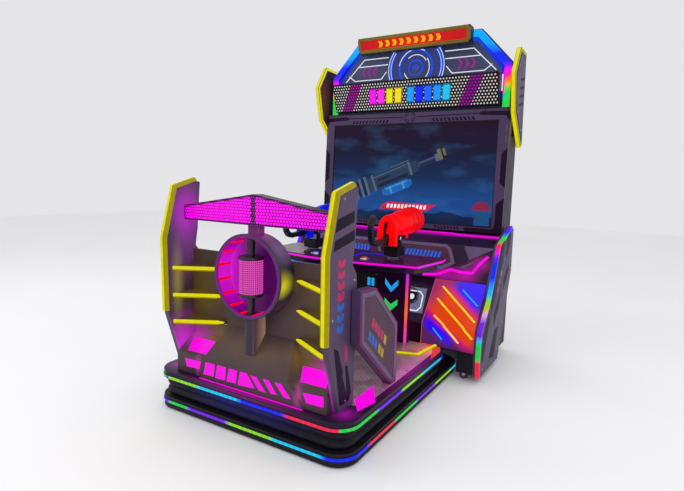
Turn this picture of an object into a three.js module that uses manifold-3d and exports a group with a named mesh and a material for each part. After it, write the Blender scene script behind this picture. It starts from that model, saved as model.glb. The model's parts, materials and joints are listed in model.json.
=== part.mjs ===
// Two-player motion light gun cabinet, in millimetres.
// +Z is up, +Y points from the players to the screen and +X is to the players' right.
// The origin is on the floor at the middle of the whole machine, and x = 0 is its middle plane.
import * as THREE from 'three';
import { mergeVertices } from 'three/addons/utils/BufferGeometryUtils.js';
import { ConvexGeometry } from 'three/addons/geometries/ConvexGeometry.js';
import Module from 'manifold-3d';

const wasm = await Module();
wasm.setup();

// ---- driving dimensions -------------------------------------------------------------------------

const GAP = 0.4;                    // running gap between pieces that touch
const BOARD = 18;                   // thickness of the cabinet's boards
const BACK_Y = 1133;                // back board of the display cabinet
const REAR_DOOR = 19;               // thickness of the service door on that back board
const UPPER_HALF = 799;             // half width of the monitor housing
const LOWER_HALF = 815;             // half width of the console and the lower cabinet
const WING_OUTER = 862;             // outer face of the side wings
const SHELL_FLOOR = 122.4;          // underside of the cabinet's floor board
const HOUSING_TOP = 1900;           // top of the monitor housing

const SCREEN_DIAGONAL = 65 * 25.4;
const SCREEN_HALF = SCREEN_DIAGONAL * 16 / Math.hypot(16, 9) / 2;
const SCREEN_HEIGHT = SCREEN_DIAGONAL * 9 / Math.hypot(16, 9);
const SCREEN_BOTTOM = 997;
const BEZEL = { bottom: 960, top: 1890, frontY: 868, thickness: 26 };
const LEAN = Math.atan(32 / (BEZEL.top - BEZEL.bottom));

const BASE_HALF = 650;              // half width of the motion base, over its light strips
const BASE_REAR = -1116;
const BASE_CORNER = 120;
const STRIP_PROUD = 4;              // how far a light strip stands out of the base's side
const TRAY = { front: 508, bottom: 6, top: 72, wall: 12, floor: 12, ledge: 62 };
const DECK = { front: 218, bottom: 176, top: 226, plate: 200, rim: 40 };
const ON_DECK = DECK.top + GAP;

const PIVOT = new THREE.Vector3(0, (BASE_REAR + DECK.front) / 2, 120);
const DRIVE_ARM = 480;              // from the universal joint to each connecting rod
const CRANK = 60;                   // crank radius, so a crank turns eight times as far as the deck
const CRANK_Z = 80;
const ROD_TOP_Z = 150;

const UPRIGHT = { inner: 509, outer: 545 };
const EDGE_BAND = 22;               // depth of the light band round an edge
const WALL = { rear: -942, thickness: 20, top: 918 };
const RING = { y: -1059, z: 830, radius: 220, wall: 14 };
const GUN = { x: 319, y: 5, pivotZ: 965, lift: THREE.MathUtils.degToRad(4) };
const TABLE = { top: 835, bottom: 772 };
const LEVELLER = { rows: [430, 960], pad: 24, stem: 8, thickness: 10 };
const CASTER = { x: 760, frontY: 318, rearY: 1060, radius: 30, width: 20, trail: 18, axleZ: 32, plateZ: 112 };

// ---- solids -------------------------------------------------------------------------------------

function toSolid(geometry) {
  const bare = geometry.index ? geometry.toNonIndexed() : geometry.clone();
  bare.deleteAttribute('normal');
  bare.deleteAttribute('uv');
  const merged = mergeVertices(bare, 1e-4);
  return new wasm.Manifold(new wasm.Mesh({
    numProp: 3,
    vertProperties: new Float32Array(merged.attributes.position.array),
    triVerts: new Uint32Array(merged.index.array),
  }));
}

function toGeometry(solid) {
  const mesh = solid.getMesh();
  const geometry = new THREE.BufferGeometry();
  const points = [];
  for (let i = 0; i < mesh.vertProperties.length; i += mesh.numProp) {
    points.push(mesh.vertProperties[i], mesh.vertProperties[i + 1], mesh.vertProperties[i + 2]);
  }
  geometry.setAttribute('position', new THREE.Float32BufferAttribute(points, 3));
  geometry.setIndex(Array.from(mesh.triVerts));
  geometry.computeVertexNormals();
  return geometry;
}

const join = (...solids) => solids.reduce((all, solid) => all.add(solid));
const cut = (solid, ...tools) => tools.reduce((rest, tool) => rest.subtract(tool), solid);

function box(x0, x1, y0, y1, z0, z1) {
  const geometry = new THREE.BoxGeometry(x1 - x0, y1 - y0, z1 - z0);
  geometry.translate((x0 + x1) / 2, (y0 + y1) / 2, (z0 + z1) / 2);
  return toSolid(geometry);
}

function extrude(outline, length) {
  const shape = outline instanceof THREE.Shape
    ? outline
    : new THREE.Shape(outline.map(([u, v]) => new THREE.Vector2(u, v)));
  return new THREE.ExtrudeGeometry(shape, { depth: length, bevelEnabled: false, curveSegments: 6 });
}

// An outline of [y, z] points between two x planes.
function prismX(outline, x0, x1) {
  const geometry = extrude(outline, x1 - x0);
  geometry.applyMatrix4(new THREE.Matrix4().set(0, 0, 1, x0, 1, 0, 0, 0, 0, 1, 0, 0, 0, 0, 0, 1));
  return toSolid(geometry);
}

// An outline of [x, z] points between two y planes.
function prismY(outline, y0, y1) {
  const geometry = extrude(outline, y1 - y0);
  geometry.rotateX(Math.PI / 2);
  geometry.translate(0, y1, 0);
  return toSolid(geometry);
}

// An outline of [x, y] points between two z planes.
function prismZ(outline, z0, z1) {
  const geometry = extrude(outline, z1 - z0);
  geometry.translate(0, 0, z0);
  return toSolid(geometry);
}

// A cylinder along 'x', 'y' or 'z', centred on a point.
function cylinder(axis, radius, length, [x, y, z], sides = 24) {
  const geometry = new THREE.CylinderGeometry(radius, radius, length, sides);
  if (axis === 'x') geometry.rotateZ(-Math.PI / 2);
  if (axis === 'z') geometry.rotateX(Math.PI / 2);
  geometry.translate(x, y, z);
  return toSolid(geometry);
}

const mirrorX = (outline) => outline.map(([x, v]) => [-x, v]);
const bothSides = (half) => [...half, ...mirrorX(half).reverse()];

// Moves an open run of points sideways, to the left of its direction, keeping its corners sharp.
function offsetRun(points, distance) {
  const normal = (a, b) => {
    const length = Math.hypot(b[0] - a[0], b[1] - a[1]);
    return [-(b[1] - a[1]) / length, (b[0] - a[0]) / length];
  };
  return points.map((point, i) => {
    const before = normal(points[Math.max(i - 1, 0)], points[Math.max(i, 1)]);
    const after = normal(points[Math.min(i, points.length - 2)], points[Math.min(i + 1, points.length - 1)]);
    const scale = distance / (1 + before[0] * after[0] + before[1] * after[1]);
    return [point[0] + (before[0] + after[0]) * scale, point[1] + (before[1] + after[1]) * scale];
  });
}

// A strip of even width along a run of points.
const band = (points, from, to) => [...offsetRun(points, from), ...offsetRun(points, to).reverse()];

function roundedRectangle(half, y0, y1, radius) {
  const shape = new THREE.Shape();
  shape.moveTo(half, y0 + radius);
  shape.lineTo(half, y1 - radius);
  shape.absarc(half - radius, y1 - radius, radius, 0, Math.PI / 2);
  shape.lineTo(-half + radius, y1);
  shape.absarc(-half + radius, y1 - radius, radius, Math.PI / 2, Math.PI);
  shape.lineTo(-half, y0 + radius);
  shape.absarc(-half + radius, y0 + radius, radius, Math.PI, Math.PI * 1.5);
  shape.lineTo(half - radius, y0);
  shape.absarc(half - radius, y0 + radius, radius, Math.PI * 1.5, Math.PI * 2);
  return shape;
}

// ---- scene --------------------------------------------------------------------------------------

const cabinet = new THREE.Group();

function add(name, solid, color, roughness = 0.5, metalness = 0.1, parent = cabinet) {
  const material = new THREE.MeshStandardMaterial({ color, roughness, metalness });
  const mesh = new THREE.Mesh(toGeometry(solid), material);
  mesh.name = name;
  parent.add(mesh);
  return mesh;
}

const SLATE = 0x51465e;
const DARK = 0x251a2e;
const BLACK = 0x141217;
const YELLOW = 0xdcd200;
const MAGENTA = 0xf000e8;
const STEEL = 0x8c8f96;

const sides = [{ side: 'left', s: -1 }, { side: 'right', s: 1 }];

// A prism along X that sits between two distances from the middle plane, on one side of it.
const sidePrism = (outline, s, near, far) =>
  s > 0 ? prismX(outline, near, far) : prismX(outline, -far, -near);
const sideBox = (s, near, far, y0, y1, z0, z1) =>
  s > 0 ? box(near, far, y0, y1, z0, z1) : box(-far, -near, y0, y1, z0, z1);

// ---- display cabinet ----------------------------------------------------------------------------

// Run of the console and the leaning lower front, seen from the side, from the floor up.
const LOWER_FRONT = [[241, 207], [248, 365], [478, 638]];
const CONSOLE_FRONT = [[488, 640], [613, 880], [818, 930], [864, 942]];
const RECESS_FRONT = [[458, 142], [458, 300], [612, 636]];
const RECESS_HALF = 446;
const SPEAKER = { radius: 58, x: 232 };
const SKIRT_FRONT = 262;
const SKIRT_BACK = 282;
const PANEL = 16;

const screenLean = new THREE.Matrix4()
  .makeTranslation(0, BEZEL.frontY, BEZEL.bottom)
  .multiply(new THREE.Matrix4().makeRotationX(-LEAN))
  .multiply(new THREE.Matrix4().makeTranslation(0, -BEZEL.frontY, -BEZEL.bottom));

function leaned(solid) {
  const geometry = toGeometry(solid);
  geometry.applyMatrix4(screenLean);
  return toSolid(geometry);
}

function cabinetShell() {
  const underPanels = offsetRun(LOWER_FRONT, -PANEL - 4);
  const lowerProfile = [
    [BACK_Y, SHELL_FLOOR], [BACK_Y, 958], [900, 958], [880, 916], [822, 906],
    [628, 860], [512, 636], ...underPanels.reverse(), [SKIRT_BACK + 1, 205], [SKIRT_BACK + 1, SHELL_FLOOR],
  ];
  const upperProfile = [[900, 940], [BACK_Y, 940], [BACK_Y, HOUSING_TOP], [932, HOUSING_TOP]];
  const inner = LOWER_HALF - BOARD;
  const upperInner = UPPER_HALF - BOARD;
  const boards = [];
  for (const s of [-1, 1]) {
    boards.push(sidePrism(lowerProfile, s, inner, LOWER_HALF));
    boards.push(sidePrism(upperProfile, s, upperInner, UPPER_HALF));
    boards.push(sideBox(s, upperInner, LOWER_HALF, 900, BACK_Y, 940, 958));
  }
  boards.push(box(-inner - 1, inner + 1, 480, BACK_Y, SHELL_FLOOR, SHELL_FLOOR + BOARD));
  boards.push(box(-upperInner - 1, upperInner + 1, 932, BACK_Y, HOUSING_TOP - BOARD, HOUSING_TOP));
  boards.push(box(-inner - 1, inner + 1, BACK_Y - BOARD, BACK_Y, SHELL_FLOOR, 958));
  boards.push(box(-upperInner - 1, upperInner + 1, BACK_Y - BOARD, BACK_Y, 940, HOUSING_TOP));
  boards.push(box(-inner - 1, inner + 1, 1000, 1000 + BOARD, 940, 958));
  const doorway = box(-300, 300, BACK_Y - 30, BACK_Y + 1, 300, 1100);
  const vents = [];
  for (let i = 0; i < 6; i += 1) {
    vents.push(box(-260, 260, BACK_Y - 30, BACK_Y + 1, 1500 + i * 45, 1515 + i * 45));
  }
  return cut(join(...boards), doorway, ...vents);
}

function rearDoor() {
  const plate = box(-312, 312, BACK_Y + GAP, BACK_Y + REAR_DOOR, 288, 1112);
  const lock = cylinder('y', 14, 10, [270, BACK_Y + GAP - 4, 700]);
  const vents = [];
  for (let i = 0; i < 5; i += 1) {
    vents.push(box(-180, 180, BACK_Y - 5, BACK_Y + REAR_DOOR + 5, 400 + i * 40, 412 + i * 40));
  }
  return cut(join(plate, lock), ...vents);
}

// Steel frame that carries the cabinet's casters and levelling feet, open below and round the motion base.
function baseFrame() {
  const inner = 702;
  const top = SHELL_FLOOR - GAP;
  const wall = 3;
  const solids = [];
  const hollows = [];
  for (const s of [-1, 1]) {
    solids.push(sideBox(s, inner, LOWER_HALF, SKIRT_FRONT, 1130, 58, top));
    hollows.push(sideBox(s, inner + wall, LOWER_HALF - wall, SKIRT_FRONT + wall, 1010, 50, CASTER.plateZ));
    hollows.push(sideBox(s, inner + wall, LOWER_HALF - wall, 1014, 1127, 50, CASTER.plateZ));
    solids.push(sideBox(s, inner, LOWER_HALF, SKIRT_FRONT, SKIRT_FRONT + wall, 58, 203));
  }
  solids.push(box(-inner - 2, inner + 2, 1070, 1130, 70, top));
  const frame = cut(join(...solids), ...hollows);
  const forks = [];
  for (const s of [-1, 1]) {
    for (const cheek of [-1, 1]) {
      const near = CASTER.x + cheek * (CASTER.width / 2 + 3) - 1.5;
      forks.push(sideBox(s, near, near + 3, CASTER.rearY - 13, CASTER.rearY + 13, 22, CASTER.plateZ + 2));
    }
    forks.push(cylinder('x', 5, CASTER.width + 8, [s * CASTER.x, CASTER.rearY, CASTER.axleZ], 12));
  }
  const feet = [];
  for (const x of [-CASTER.x, CASTER.x]) {
    for (const y of LEVELLER.rows) {
      feet.push(cylinder('z', LEVELLER.pad, LEVELLER.thickness, [x, y, LEVELLER.thickness / 2], 16));
      feet.push(cylinder('z', LEVELLER.stem, CASTER.plateZ, [x, y, CASTER.plateZ / 2 + 4], 12));
    }
  }
  return join(frame, ...forks, ...feet);
}

function casterFork(s) {
  const x = s * CASTER.x;
  const reach = CASTER.width / 2 + 1.5;
  const top = CASTER.plateZ - GAP;
  const plate = cylinder('z', 26, 6, [x, CASTER.frontY, top - 3]);
  const parts = [plate];
  for (const cheek of [-1, 1]) {
    const outline = [
      [x + 14, top - 4], [x - 14, top - 4], [x - s * CASTER.trail - 8, CASTER.axleZ - 8],
      [x - s * CASTER.trail + 8, CASTER.axleZ - 8],
    ];
    const y = CASTER.frontY + cheek * reach;
    parts.push(prismY(outline, Math.min(y, y + cheek * 3), Math.max(y, y + cheek * 3)));
  }
  parts.push(cylinder('y', 5, 2 * reach + 4, [x - s * CASTER.trail, CASTER.frontY, CASTER.axleZ], 12));
  return join(...parts);
}

function casterWheel(axis, centre) {
  const tyre = cylinder(axis, CASTER.radius, CASTER.width, centre, 28);
  return cut(tyre, cylinder(axis, 6, CASTER.width + 2, centre, 12));
}

// Side wing: a slanted plate with its rainbow light along the front and top edge.
const WING_RUN = [[259, 42], [240, 169], [248, 359], [418, 534], [607, 909], [945, 1020]];
const WING_BACK = [[984, 997], [993, 672], [918, 489], [735, 42]];

function sideWing(s) {
  const plate = sidePrism([...offsetRun(WING_RUN, -EDGE_BAND - GAP), ...WING_BACK], s, LOWER_HALF + GAP, WING_OUTER);
  const liner = sidePrism([...offsetRun(WING_RUN, -10), ...WING_BACK], s, LOWER_HALF + GAP, 832 - GAP);
  return join(plate, liner);
}

const wingLight = (s) => sidePrism(band(WING_RUN, 0, -EDGE_BAND), s, 832, WING_OUTER);

function bezel() {
  const outline = bothSides([
    [UPPER_HALF, BEZEL.bottom], [UPPER_HALF, BEZEL.top - 30], [UPPER_HALF - 30, BEZEL.top],
  ]);
  const plate = prismY(outline, BEZEL.frontY, BEZEL.frontY + BEZEL.thickness);
  const window = box(-SCREEN_HALF, SCREEN_HALF, BEZEL.frontY - 5, BEZEL.frontY + 60,
    SCREEN_BOTTOM, SCREEN_BOTTOM + SCREEN_HEIGHT);
  return leaned(cut(plate, window));
}

function monitor() {
  const y = BEZEL.frontY + BEZEL.thickness + GAP;
  const edge = 14;
  const body = box(-SCREEN_HALF - edge, SCREEN_HALF + edge, y, y + 62,
    SCREEN_BOTTOM - edge, SCREEN_BOTTOM + SCREEN_HEIGHT + edge);
  const glass = box(-SCREEN_HALF + 2, SCREEN_HALF - 2, BEZEL.frontY + 10, y + 5,
    SCREEN_BOTTOM + 2, SCREEN_BOTTOM + SCREEN_HEIGHT - 2);
  return leaned(join(body, glass));
}

const consolePanel = () => prismX(band(CONSOLE_FRONT, 0, -PANEL), -LOWER_HALF, LOWER_HALF);

// Neon panel: a folded front with a return wall on the side of the central recess.
function neonPanel(s) {
  const face = sidePrism(band(LOWER_FRONT, 0, -PANEL), s, RECESS_HALF, LOWER_HALF - GAP);
  const returnWall = sidePrism(
    [...LOWER_FRONT.slice(0, 2), [468, 626], [596, 626], [456, 304], [456, 207]], s,
    RECESS_HALF, RECESS_HALF + PANEL);
  return join(face, returnWall);
}

// Panel at the back of the central recess, with two speaker holes square to its leaning face.
function recessPanel() {
  const half = RECESS_HALF - GAP;
  const panel = prismX(band(RECESS_FRONT, 0, -14), -half, half);
  const [, low, high] = RECESS_FRONT;
  const lean = Math.atan2(high[0] - low[0], high[1] - low[1]);
  const speakerHoles = [-1, 1].map((s) => {
    const hole = new THREE.CylinderGeometry(SPEAKER.radius, SPEAKER.radius, 90, 24);
    hole.rotateX(Math.PI / 2 - lean);
    hole.translate(s * SPEAKER.x, (low[0] + high[0]) / 2, (low[1] + high[1]) / 2);
    return toSolid(hole);
  });
  return cut(panel, ...speakerHoles);
}

// ---- header -------------------------------------------------------------------------------------

const ARCH_RUN = [[781, HOUSING_TOP + GAP], [781, 2223], [535, 2490]];
const ARCH_LIP = 8;
const ARCH_BAND = 58;
const archOutline = (inset) => bothSides(offsetRun(ARCH_RUN, inset)).map(([x, z]) => [x, Math.max(z, HOUSING_TOP + GAP)]);

function archFrame() {
  const outer = prismY(archOutline(0), 956, BACK_Y);
  const face = prismY(archOutline(ARCH_BAND), 950, 970);
  const cavity = prismY(archOutline(20), 969, BACK_Y - BOARD);
  return cut(outer, face, cavity);
}

function archLight() {
  const outer = prismY(archOutline(ARCH_LIP), 940, 956 - GAP);
  const inner = prismY(bothSides([
    ...offsetRun(ARCH_RUN, ARCH_BAND).map(([x, z], i) => (i === 0 ? [x, z - 40] : [x, z])),
  ]), 930, 960);
  return cut(outer, inner);
}

const hudPanel = () => prismY(archOutline(20 + GAP), 970 + GAP, 982);

function speakerBox() {
  const half = 709;
  const profile = [[830, 2142], [903, 1918], [968, 1918], [968, 2142]];
  const cavity = [[846, 2130], [912, 1930], [975, 1930], [975, 2130]];
  const shell = cut(prismX(profile, -half, half), prismX(cavity, -half + 12, half - 12));
  const ports = [-1, 1].map((s) => cylinder('y', 72, 120, [s * 430, 870, 2030]));
  return cut(shell, ...ports);
}

const sign = () => prismX([[843, 2500], [876, 2384], [939, 2384], [939, 2500]], -477, 477);

// Ear: a dark plate beside the header, its front edge lit.
const EAR_RUN = [[1085, 1611], [833, 1845], [768, 2118], [893, 2310]];
const EAR_BACK = [[1075, 2303], [1128, 1640]];

function ear(s) {
  const plate = sidePrism([...EAR_RUN, ...EAR_BACK], s, 815, 845);
  const spacers = [1690, 1830].map((z) => sideBox(s, UPPER_HALF + GAP, 816, 1000, 1090, z, z + 40));
  return join(plate, ...spacers);
}

// ---- motion base --------------------------------------------------------------------------------

const baseOutline = (inset, front, radius) =>
  roundedRectangle(BASE_HALF - inset, BASE_REAR + inset, front - inset, radius - inset);

function tray() {
  const body = prismZ(baseOutline(STRIP_PROUD, TRAY.front, BASE_CORNER), TRAY.bottom, TRAY.top);
  const strip = prismZ(baseOutline(0, TRAY.front, BASE_CORNER), 37, 53);
  const inside = prismZ(baseOutline(TRAY.wall, TRAY.front, BASE_CORNER), TRAY.floor, TRAY.top - 6);
  const well = prismZ(baseOutline(TRAY.ledge, DECK.front, BASE_CORNER), TRAY.top - 10, TRAY.top + 1);
  const feet = [];
  for (const x of [-540, 540]) {
    for (const y of [-980, -300, 400]) feet.push(cylinder('z', 28, 8, [x, y, 4], 16));
  }
  return join(cut(join(body, strip), inside, well), ...feet);
}

function pivotPost() {
  const plate = box(-130, 130, PIVOT.y - 130, PIVOT.y + 130, TRAY.floor + GAP, TRAY.floor + 12);
  const cheeks = [-1, 1].map((s) => sideBox(s, 62, 80, PIVOT.y - 35, PIVOT.y + 35, TRAY.floor + 2, 150));
  const bore = cylinder('x', 15, 200, [0, PIVOT.y, PIVOT.z], 20);
  return cut(join(plate, ...cheeks), bore);
}

// Cross of the universal joint: its X pins turn in the post's cheeks and its Y pins in the deck's lugs.
function gimbalCross() {
  const block = box(-40, 40, PIVOT.y - 40, PIVOT.y + 40, PIVOT.z - 25, PIVOT.z + 25);
  const pinX = cylinder('x', 14, 156, [0, PIVOT.y, PIVOT.z], 20);
  const pinY = cylinder('y', 14, 156, [0, PIVOT.y, PIVOT.z], 20);
  return join(block, pinX, pinY);
}

// The two drives are alike. Each is drawn for pitch, with its shaft along X and its rod on the
// middle plane behind the universal joint, and turned a quarter turn about that joint for roll.
const rodY = PIVOT.y - DRIVE_ARM;
const shaftY = rodY + CRANK;

function placedDrive(solid, roll) {
  if (!roll) return solid;
  const geometry = toGeometry(solid);
  geometry.translate(-PIVOT.x, -PIVOT.y, 0);
  geometry.rotateZ(Math.PI / 2);
  geometry.translate(PIVOT.x, PIVOT.y, 0);
  return toSolid(geometry);
}

function driveMotor(roll) {
  const gearbox = box(-150, -34, shaftY - 55, shaftY + 55, TRAY.floor + GAP, 138);
  const motor = cylinder('x', 48, 170, [-230, shaftY, 80]);
  const shaft = cylinder('x', 13, 40, [-28, shaftY, CRANK_Z], 20);
  return placedDrive(join(gearbox, motor, shaft), roll);
}

function driveCrank(roll) {
  const hub = cylinder('x', 24, 16, [-18, shaftY, CRANK_Z]);
  const arm = box(-26, -10, rodY, shaftY, CRANK_Z - 15, CRANK_Z + 15);
  const end = cylinder('x', 18, 16, [-18, rodY, CRANK_Z]);
  const pin = cylinder('x', 10, 26, [-1, rodY, CRANK_Z], 20);
  const bore = cylinder('x', 14, 60, [-18, shaftY, CRANK_Z], 20);
  return placedDrive(cut(join(hub, arm, end, pin), bore), roll);
}

function driveRod(roll) {
  const lower = cylinder('x', 19, 14, [4, rodY, CRANK_Z]);
  const bar = box(-3, 11, rodY - 11, rodY + 11, CRANK_Z, ROD_TOP_Z);
  const upper = cylinder('x', 25, 14, [4, rodY, ROD_TOP_Z]);
  const pinBore = cylinder('x', 11, 40, [4, rodY, CRANK_Z], 20);
  const openBore = cylinder('x', 17, 40, [4, rodY, ROD_TOP_Z], 20);
  return placedDrive(cut(join(lower, bar, upper), pinBore, openBore), roll);
}

function deckLug(roll) {
  const plate = box(16, 30, rodY - 20, rodY + 20, ROD_TOP_Z - 18, DECK.plate + 2);
  const pin = cylinder('x', 9, 26, [6, rodY, ROD_TOP_Z], 20);
  return placedDrive(join(plate, pin), roll);
}

function deck() {
  const body = prismZ(baseOutline(STRIP_PROUD, DECK.front, BASE_CORNER), DECK.bottom, DECK.top);
  const strip = prismZ(baseOutline(0, DECK.front, BASE_CORNER), 182, 197);
  const inside = prismZ(baseOutline(DECK.rim, DECK.front, BASE_CORNER), DECK.bottom - 1, DECK.plate);
  const lugs = [-1, 1].map((s) => {
    const y = PIVOT.y + s * 71;
    const lug = box(-35, 35, y - 9, y + 9, PIVOT.z - 26, DECK.plate + 2);
    return cut(lug, cylinder('y', 15, 40, [0, y, PIVOT.z], 20));
  });
  return join(cut(join(body, strip), inside), ...lugs, deckLug(false), deckLug(true));
}

// Rubber skirt with two lobes, between the tray's ledge and the deck's rim.
function bellows() {
  const bottom = TRAY.top + GAP;
  const top = DECK.bottom - GAP;
  const middle = (bottom + top) / 2;
  const wall = 4;
  const slices = [];
  const lobes = [[bottom, middle], [middle, top]];
  for (const [low, high] of lobes) {
    const steps = 2;
    for (let i = 0; i < steps; i += 1) {
      const z0 = low + (high - low) * i / steps;
      const z1 = low + (high - low) * (i + 1) / steps;
      const bulge = 18 * Math.sin(Math.PI * (i + 0.5) / steps);
      const outer = prismZ(baseOutline(42 - bulge, DECK.front, BASE_CORNER), z0, z1);
      const inner = prismZ(baseOutline(42 + wall + 10, DECK.front, BASE_CORNER), z0 - 1, z1 + 1);
      slices.push(cut(outer, inner));
    }
  }
  return join(...slices);
}

// ---- backrest on the deck -----------------------------------------------------------------------

// The lit rear edge of an upright, from its top down to where the light ends.
const UPRIGHT_RUN = [[-921, 1327], [-1076, 1282], [-1152, 997], [-1145, 586]];

function upright(s) {
  const rear = offsetRun(UPRIGHT_RUN, EDGE_BAND + GAP);
  const outline = [
    ...rear, [-1124, 570], [-1014, ON_DECK], [-880, ON_DECK], [-873, 800], [-881, 886],
    [-922, 938], [-906, 1035], [-886, 1300],
  ];
  return sidePrism(outline, s, UPRIGHT.inner, UPRIGHT.outer);
}

const uprightLight = (s) =>
  sidePrism(band(UPRIGHT_RUN, 0, EDGE_BAND), s, UPRIGHT.inner - 4, UPRIGHT.outer + 4);

// Light fins on the wall, from a narrow tip beside the ring out to the upright.
const FIN = { levels: [825, 672, 521], thickness: 20, tip: [252, -954], outer: [503, -1097] };

function backWall() {
  const half = UPRIGHT.inner - GAP;
  const front = WALL.rear + WALL.thickness;
  const wall = box(-half, half, WALL.rear, front, ON_DECK, WALL.top);
  const [tipX] = FIN.tip;
  const [outerX] = FIN.outer;
  const outline = [FIN.tip, FIN.outer, [outerX, WALL.rear + 1], [tipX, WALL.rear + 1]];
  const fins = FIN.levels.map((z) => prismZ(outline, z - FIN.thickness / 2, z + FIN.thickness / 2));
  return join(wall, ...fins, ...fins.map((fin) => fin.mirror([1, 0, 0])));
}

const CROSSBAR = { bottom: 1090, rear: -1006, front: -932 };
const CHUTE = { frontY: -1082, frontZ: 350, backZ: 510, frontHalf: 289, backHalf: 222, left: -312, right: 383 };

function trunk() {
  const back = WALL.rear - GAP;
  const half = UPRIGHT.inner - GAP;
  const corners = [
    [-CHUTE.backHalf, back, CHUTE.backZ], [CHUTE.backHalf, back, CHUTE.backZ],
    [-CHUTE.frontHalf, CHUTE.frontY, CHUTE.frontZ], [CHUTE.frontHalf, CHUTE.frontY, CHUTE.frontZ],
    [CHUTE.left, CHUTE.frontY, ON_DECK], [CHUTE.right, CHUTE.frontY, ON_DECK],
    [CHUTE.left, back, ON_DECK], [CHUTE.right, back, ON_DECK],
  ];
  const chute = toSolid(new ConvexGeometry(corners.map((p) => new THREE.Vector3(...p))));
  const sideBoxes = prismX([[back, ON_DECK], [back, 425], [-1070, 335], [-1070, ON_DECK]], -half, half);
  return join(chute, sideBoxes);
}

function ringHousing() {
  const back = WALL.rear - GAP;
  const middle = (RING.y + back) / 2;
  const tube = cut(
    cylinder('y', RING.radius, back - RING.y, [0, middle, RING.z], 48),
    cylinder('y', RING.radius - RING.wall, back - RING.y, [0, middle - 10, RING.z], 48),
  );
  const slope = (CHUTE.backZ - CHUTE.frontZ) / (back - CHUTE.frontY);
  const columnFront = -1034;
  const onChute = (y) => CHUTE.frontZ + (y - CHUTE.frontY) * slope + 1;
  const ringFoot = RING.z - RING.radius + 4;
  const column = prismX([
    [columnFront, onChute(columnFront)], [back, onChute(back)], [back, ringFoot], [columnFront, ringFoot],
  ], -33, 33);
  const neck = box(-40, 40, -1002, -964, RING.z + RING.radius - 6, CROSSBAR.bottom - GAP);
  return join(tube, column, neck);
}

function ringDrum() {
  const y = RING.y + 37;
  const rodHalf = 204;
  const rod = cylinder('z', 20, 2 * rodHalf, [0, y, RING.z], 20);
  const drum = cylinder('z', 62, 180, [0, y, RING.z], 32);
  const caps = [-1, 1].map((s) => cylinder('z', 66, 15, [0, y, RING.z + s * 97], 32));
  return join(rod, drum, ...caps);
}

function crossbar() {
  const half = UPRIGHT.inner - 4 - GAP;
  const outline = [[-half, 1092], [0, CROSSBAR.bottom], [half, 1092], [half, 1172], [0, 1250], [-half, 1172]];
  return prismY(outline, CROSSBAR.rear, CROSSBAR.front);
}

// Hexagonal guard beside each player.
function shield(s) {
  const near = UPRIGHT.outer + 4 + GAP;
  const outline = [[-935, 818], [-777, 809], [-507, 570], [-499, ON_DECK], [-560, ON_DECK], [-929, 553]];
  return sidePrism(outline, s, near, 600);
}

// ---- gun table on the deck ----------------------------------------------------------------------

const tableOutline = (inset) => bothSides([
  [150, -272 + inset], [572 - inset, -187 + inset], [613 - inset, 137], [600 - inset, 213 - inset],
]);
const BUTTON = { x: 190, y: -150, radius: 20, travel: 4 };

function gunTable() {
  const top = prismZ(tableOutline(0), TABLE.top - 28, TABLE.top);
  const belly = prismZ(tableOutline(36), TABLE.bottom, TABLE.top - 27);
  const wells = [-1, 1].map((s) => cylinder('z', BUTTON.radius + 1, 40, [s * BUTTON.x, BUTTON.y, TABLE.top - 5]));
  return cut(join(top, belly), ...wells);
}

const startButton = (s) => cylinder('z', BUTTON.radius, 27, [s * BUTTON.x, BUTTON.y, TABLE.top - 4.5]);

const COLUMN = { half: 381, rear: 128, front: 198, wall: 12 };
const COIN_DOOR = { half: 158, bottom: 300, top: 700, thickness: 6 };

function tableColumn() {
  const { half, rear, front, wall } = COLUMN;
  const top = TABLE.bottom - GAP;
  const outline = [
    [-half, rear], [half, rear], [half, front - 20], [half - 30, front], [-half + 30, front], [-half, front - 20],
  ];
  const body = prismZ(outline, ON_DECK, top);
  const hollow = box(-half + wall, half - wall, rear + wall, front - wall, ON_DECK + wall, top - wall);
  const doorway = box(-COIN_DOOR.half + 8, COIN_DOOR.half - 8, rear - 1, rear + wall + 1,
    COIN_DOOR.bottom + 8, COIN_DOOR.top - 8);
  return cut(body, hollow, doorway);
}

function coinDoor() {
  const outer = COLUMN.rear - GAP;
  const plate = box(-COIN_DOOR.half, COIN_DOOR.half, outer - COIN_DOOR.thickness, outer,
    COIN_DOOR.bottom, COIN_DOOR.top);
  const entries = [-1, 1].map((s) => box(s * 105 - 33, s * 105 + 33, outer - 14, outer - 2, 596, 664));
  const slots = [-1, 1].map((s) => box(s * 105 - 2, s * 105 + 2, outer - 20, outer + 1, 612, 648));
  const cup = box(-70, 70, outer - 22, outer - 2, 330, 400);
  const cupHollow = box(-58, 58, outer - 30, outer - 4, 342, 388);
  return cut(join(plate, ...entries, cup), ...slots, cupHollow);
}

// ---- guns ---------------------------------------------------------------------------------------

const YOKE = { half: 50, bottom: 850, top: 912, cheek: 11 };
const SHROUD_Z = 85;                // height of the shroud's axis over the trunnion
const COWL = { outer: 70, inner: 20, foot: -30 };
const HANDLE_HALF = 17;
const TRIGGER = { y: -312, z: 134, hub: 6.4 };

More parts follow.
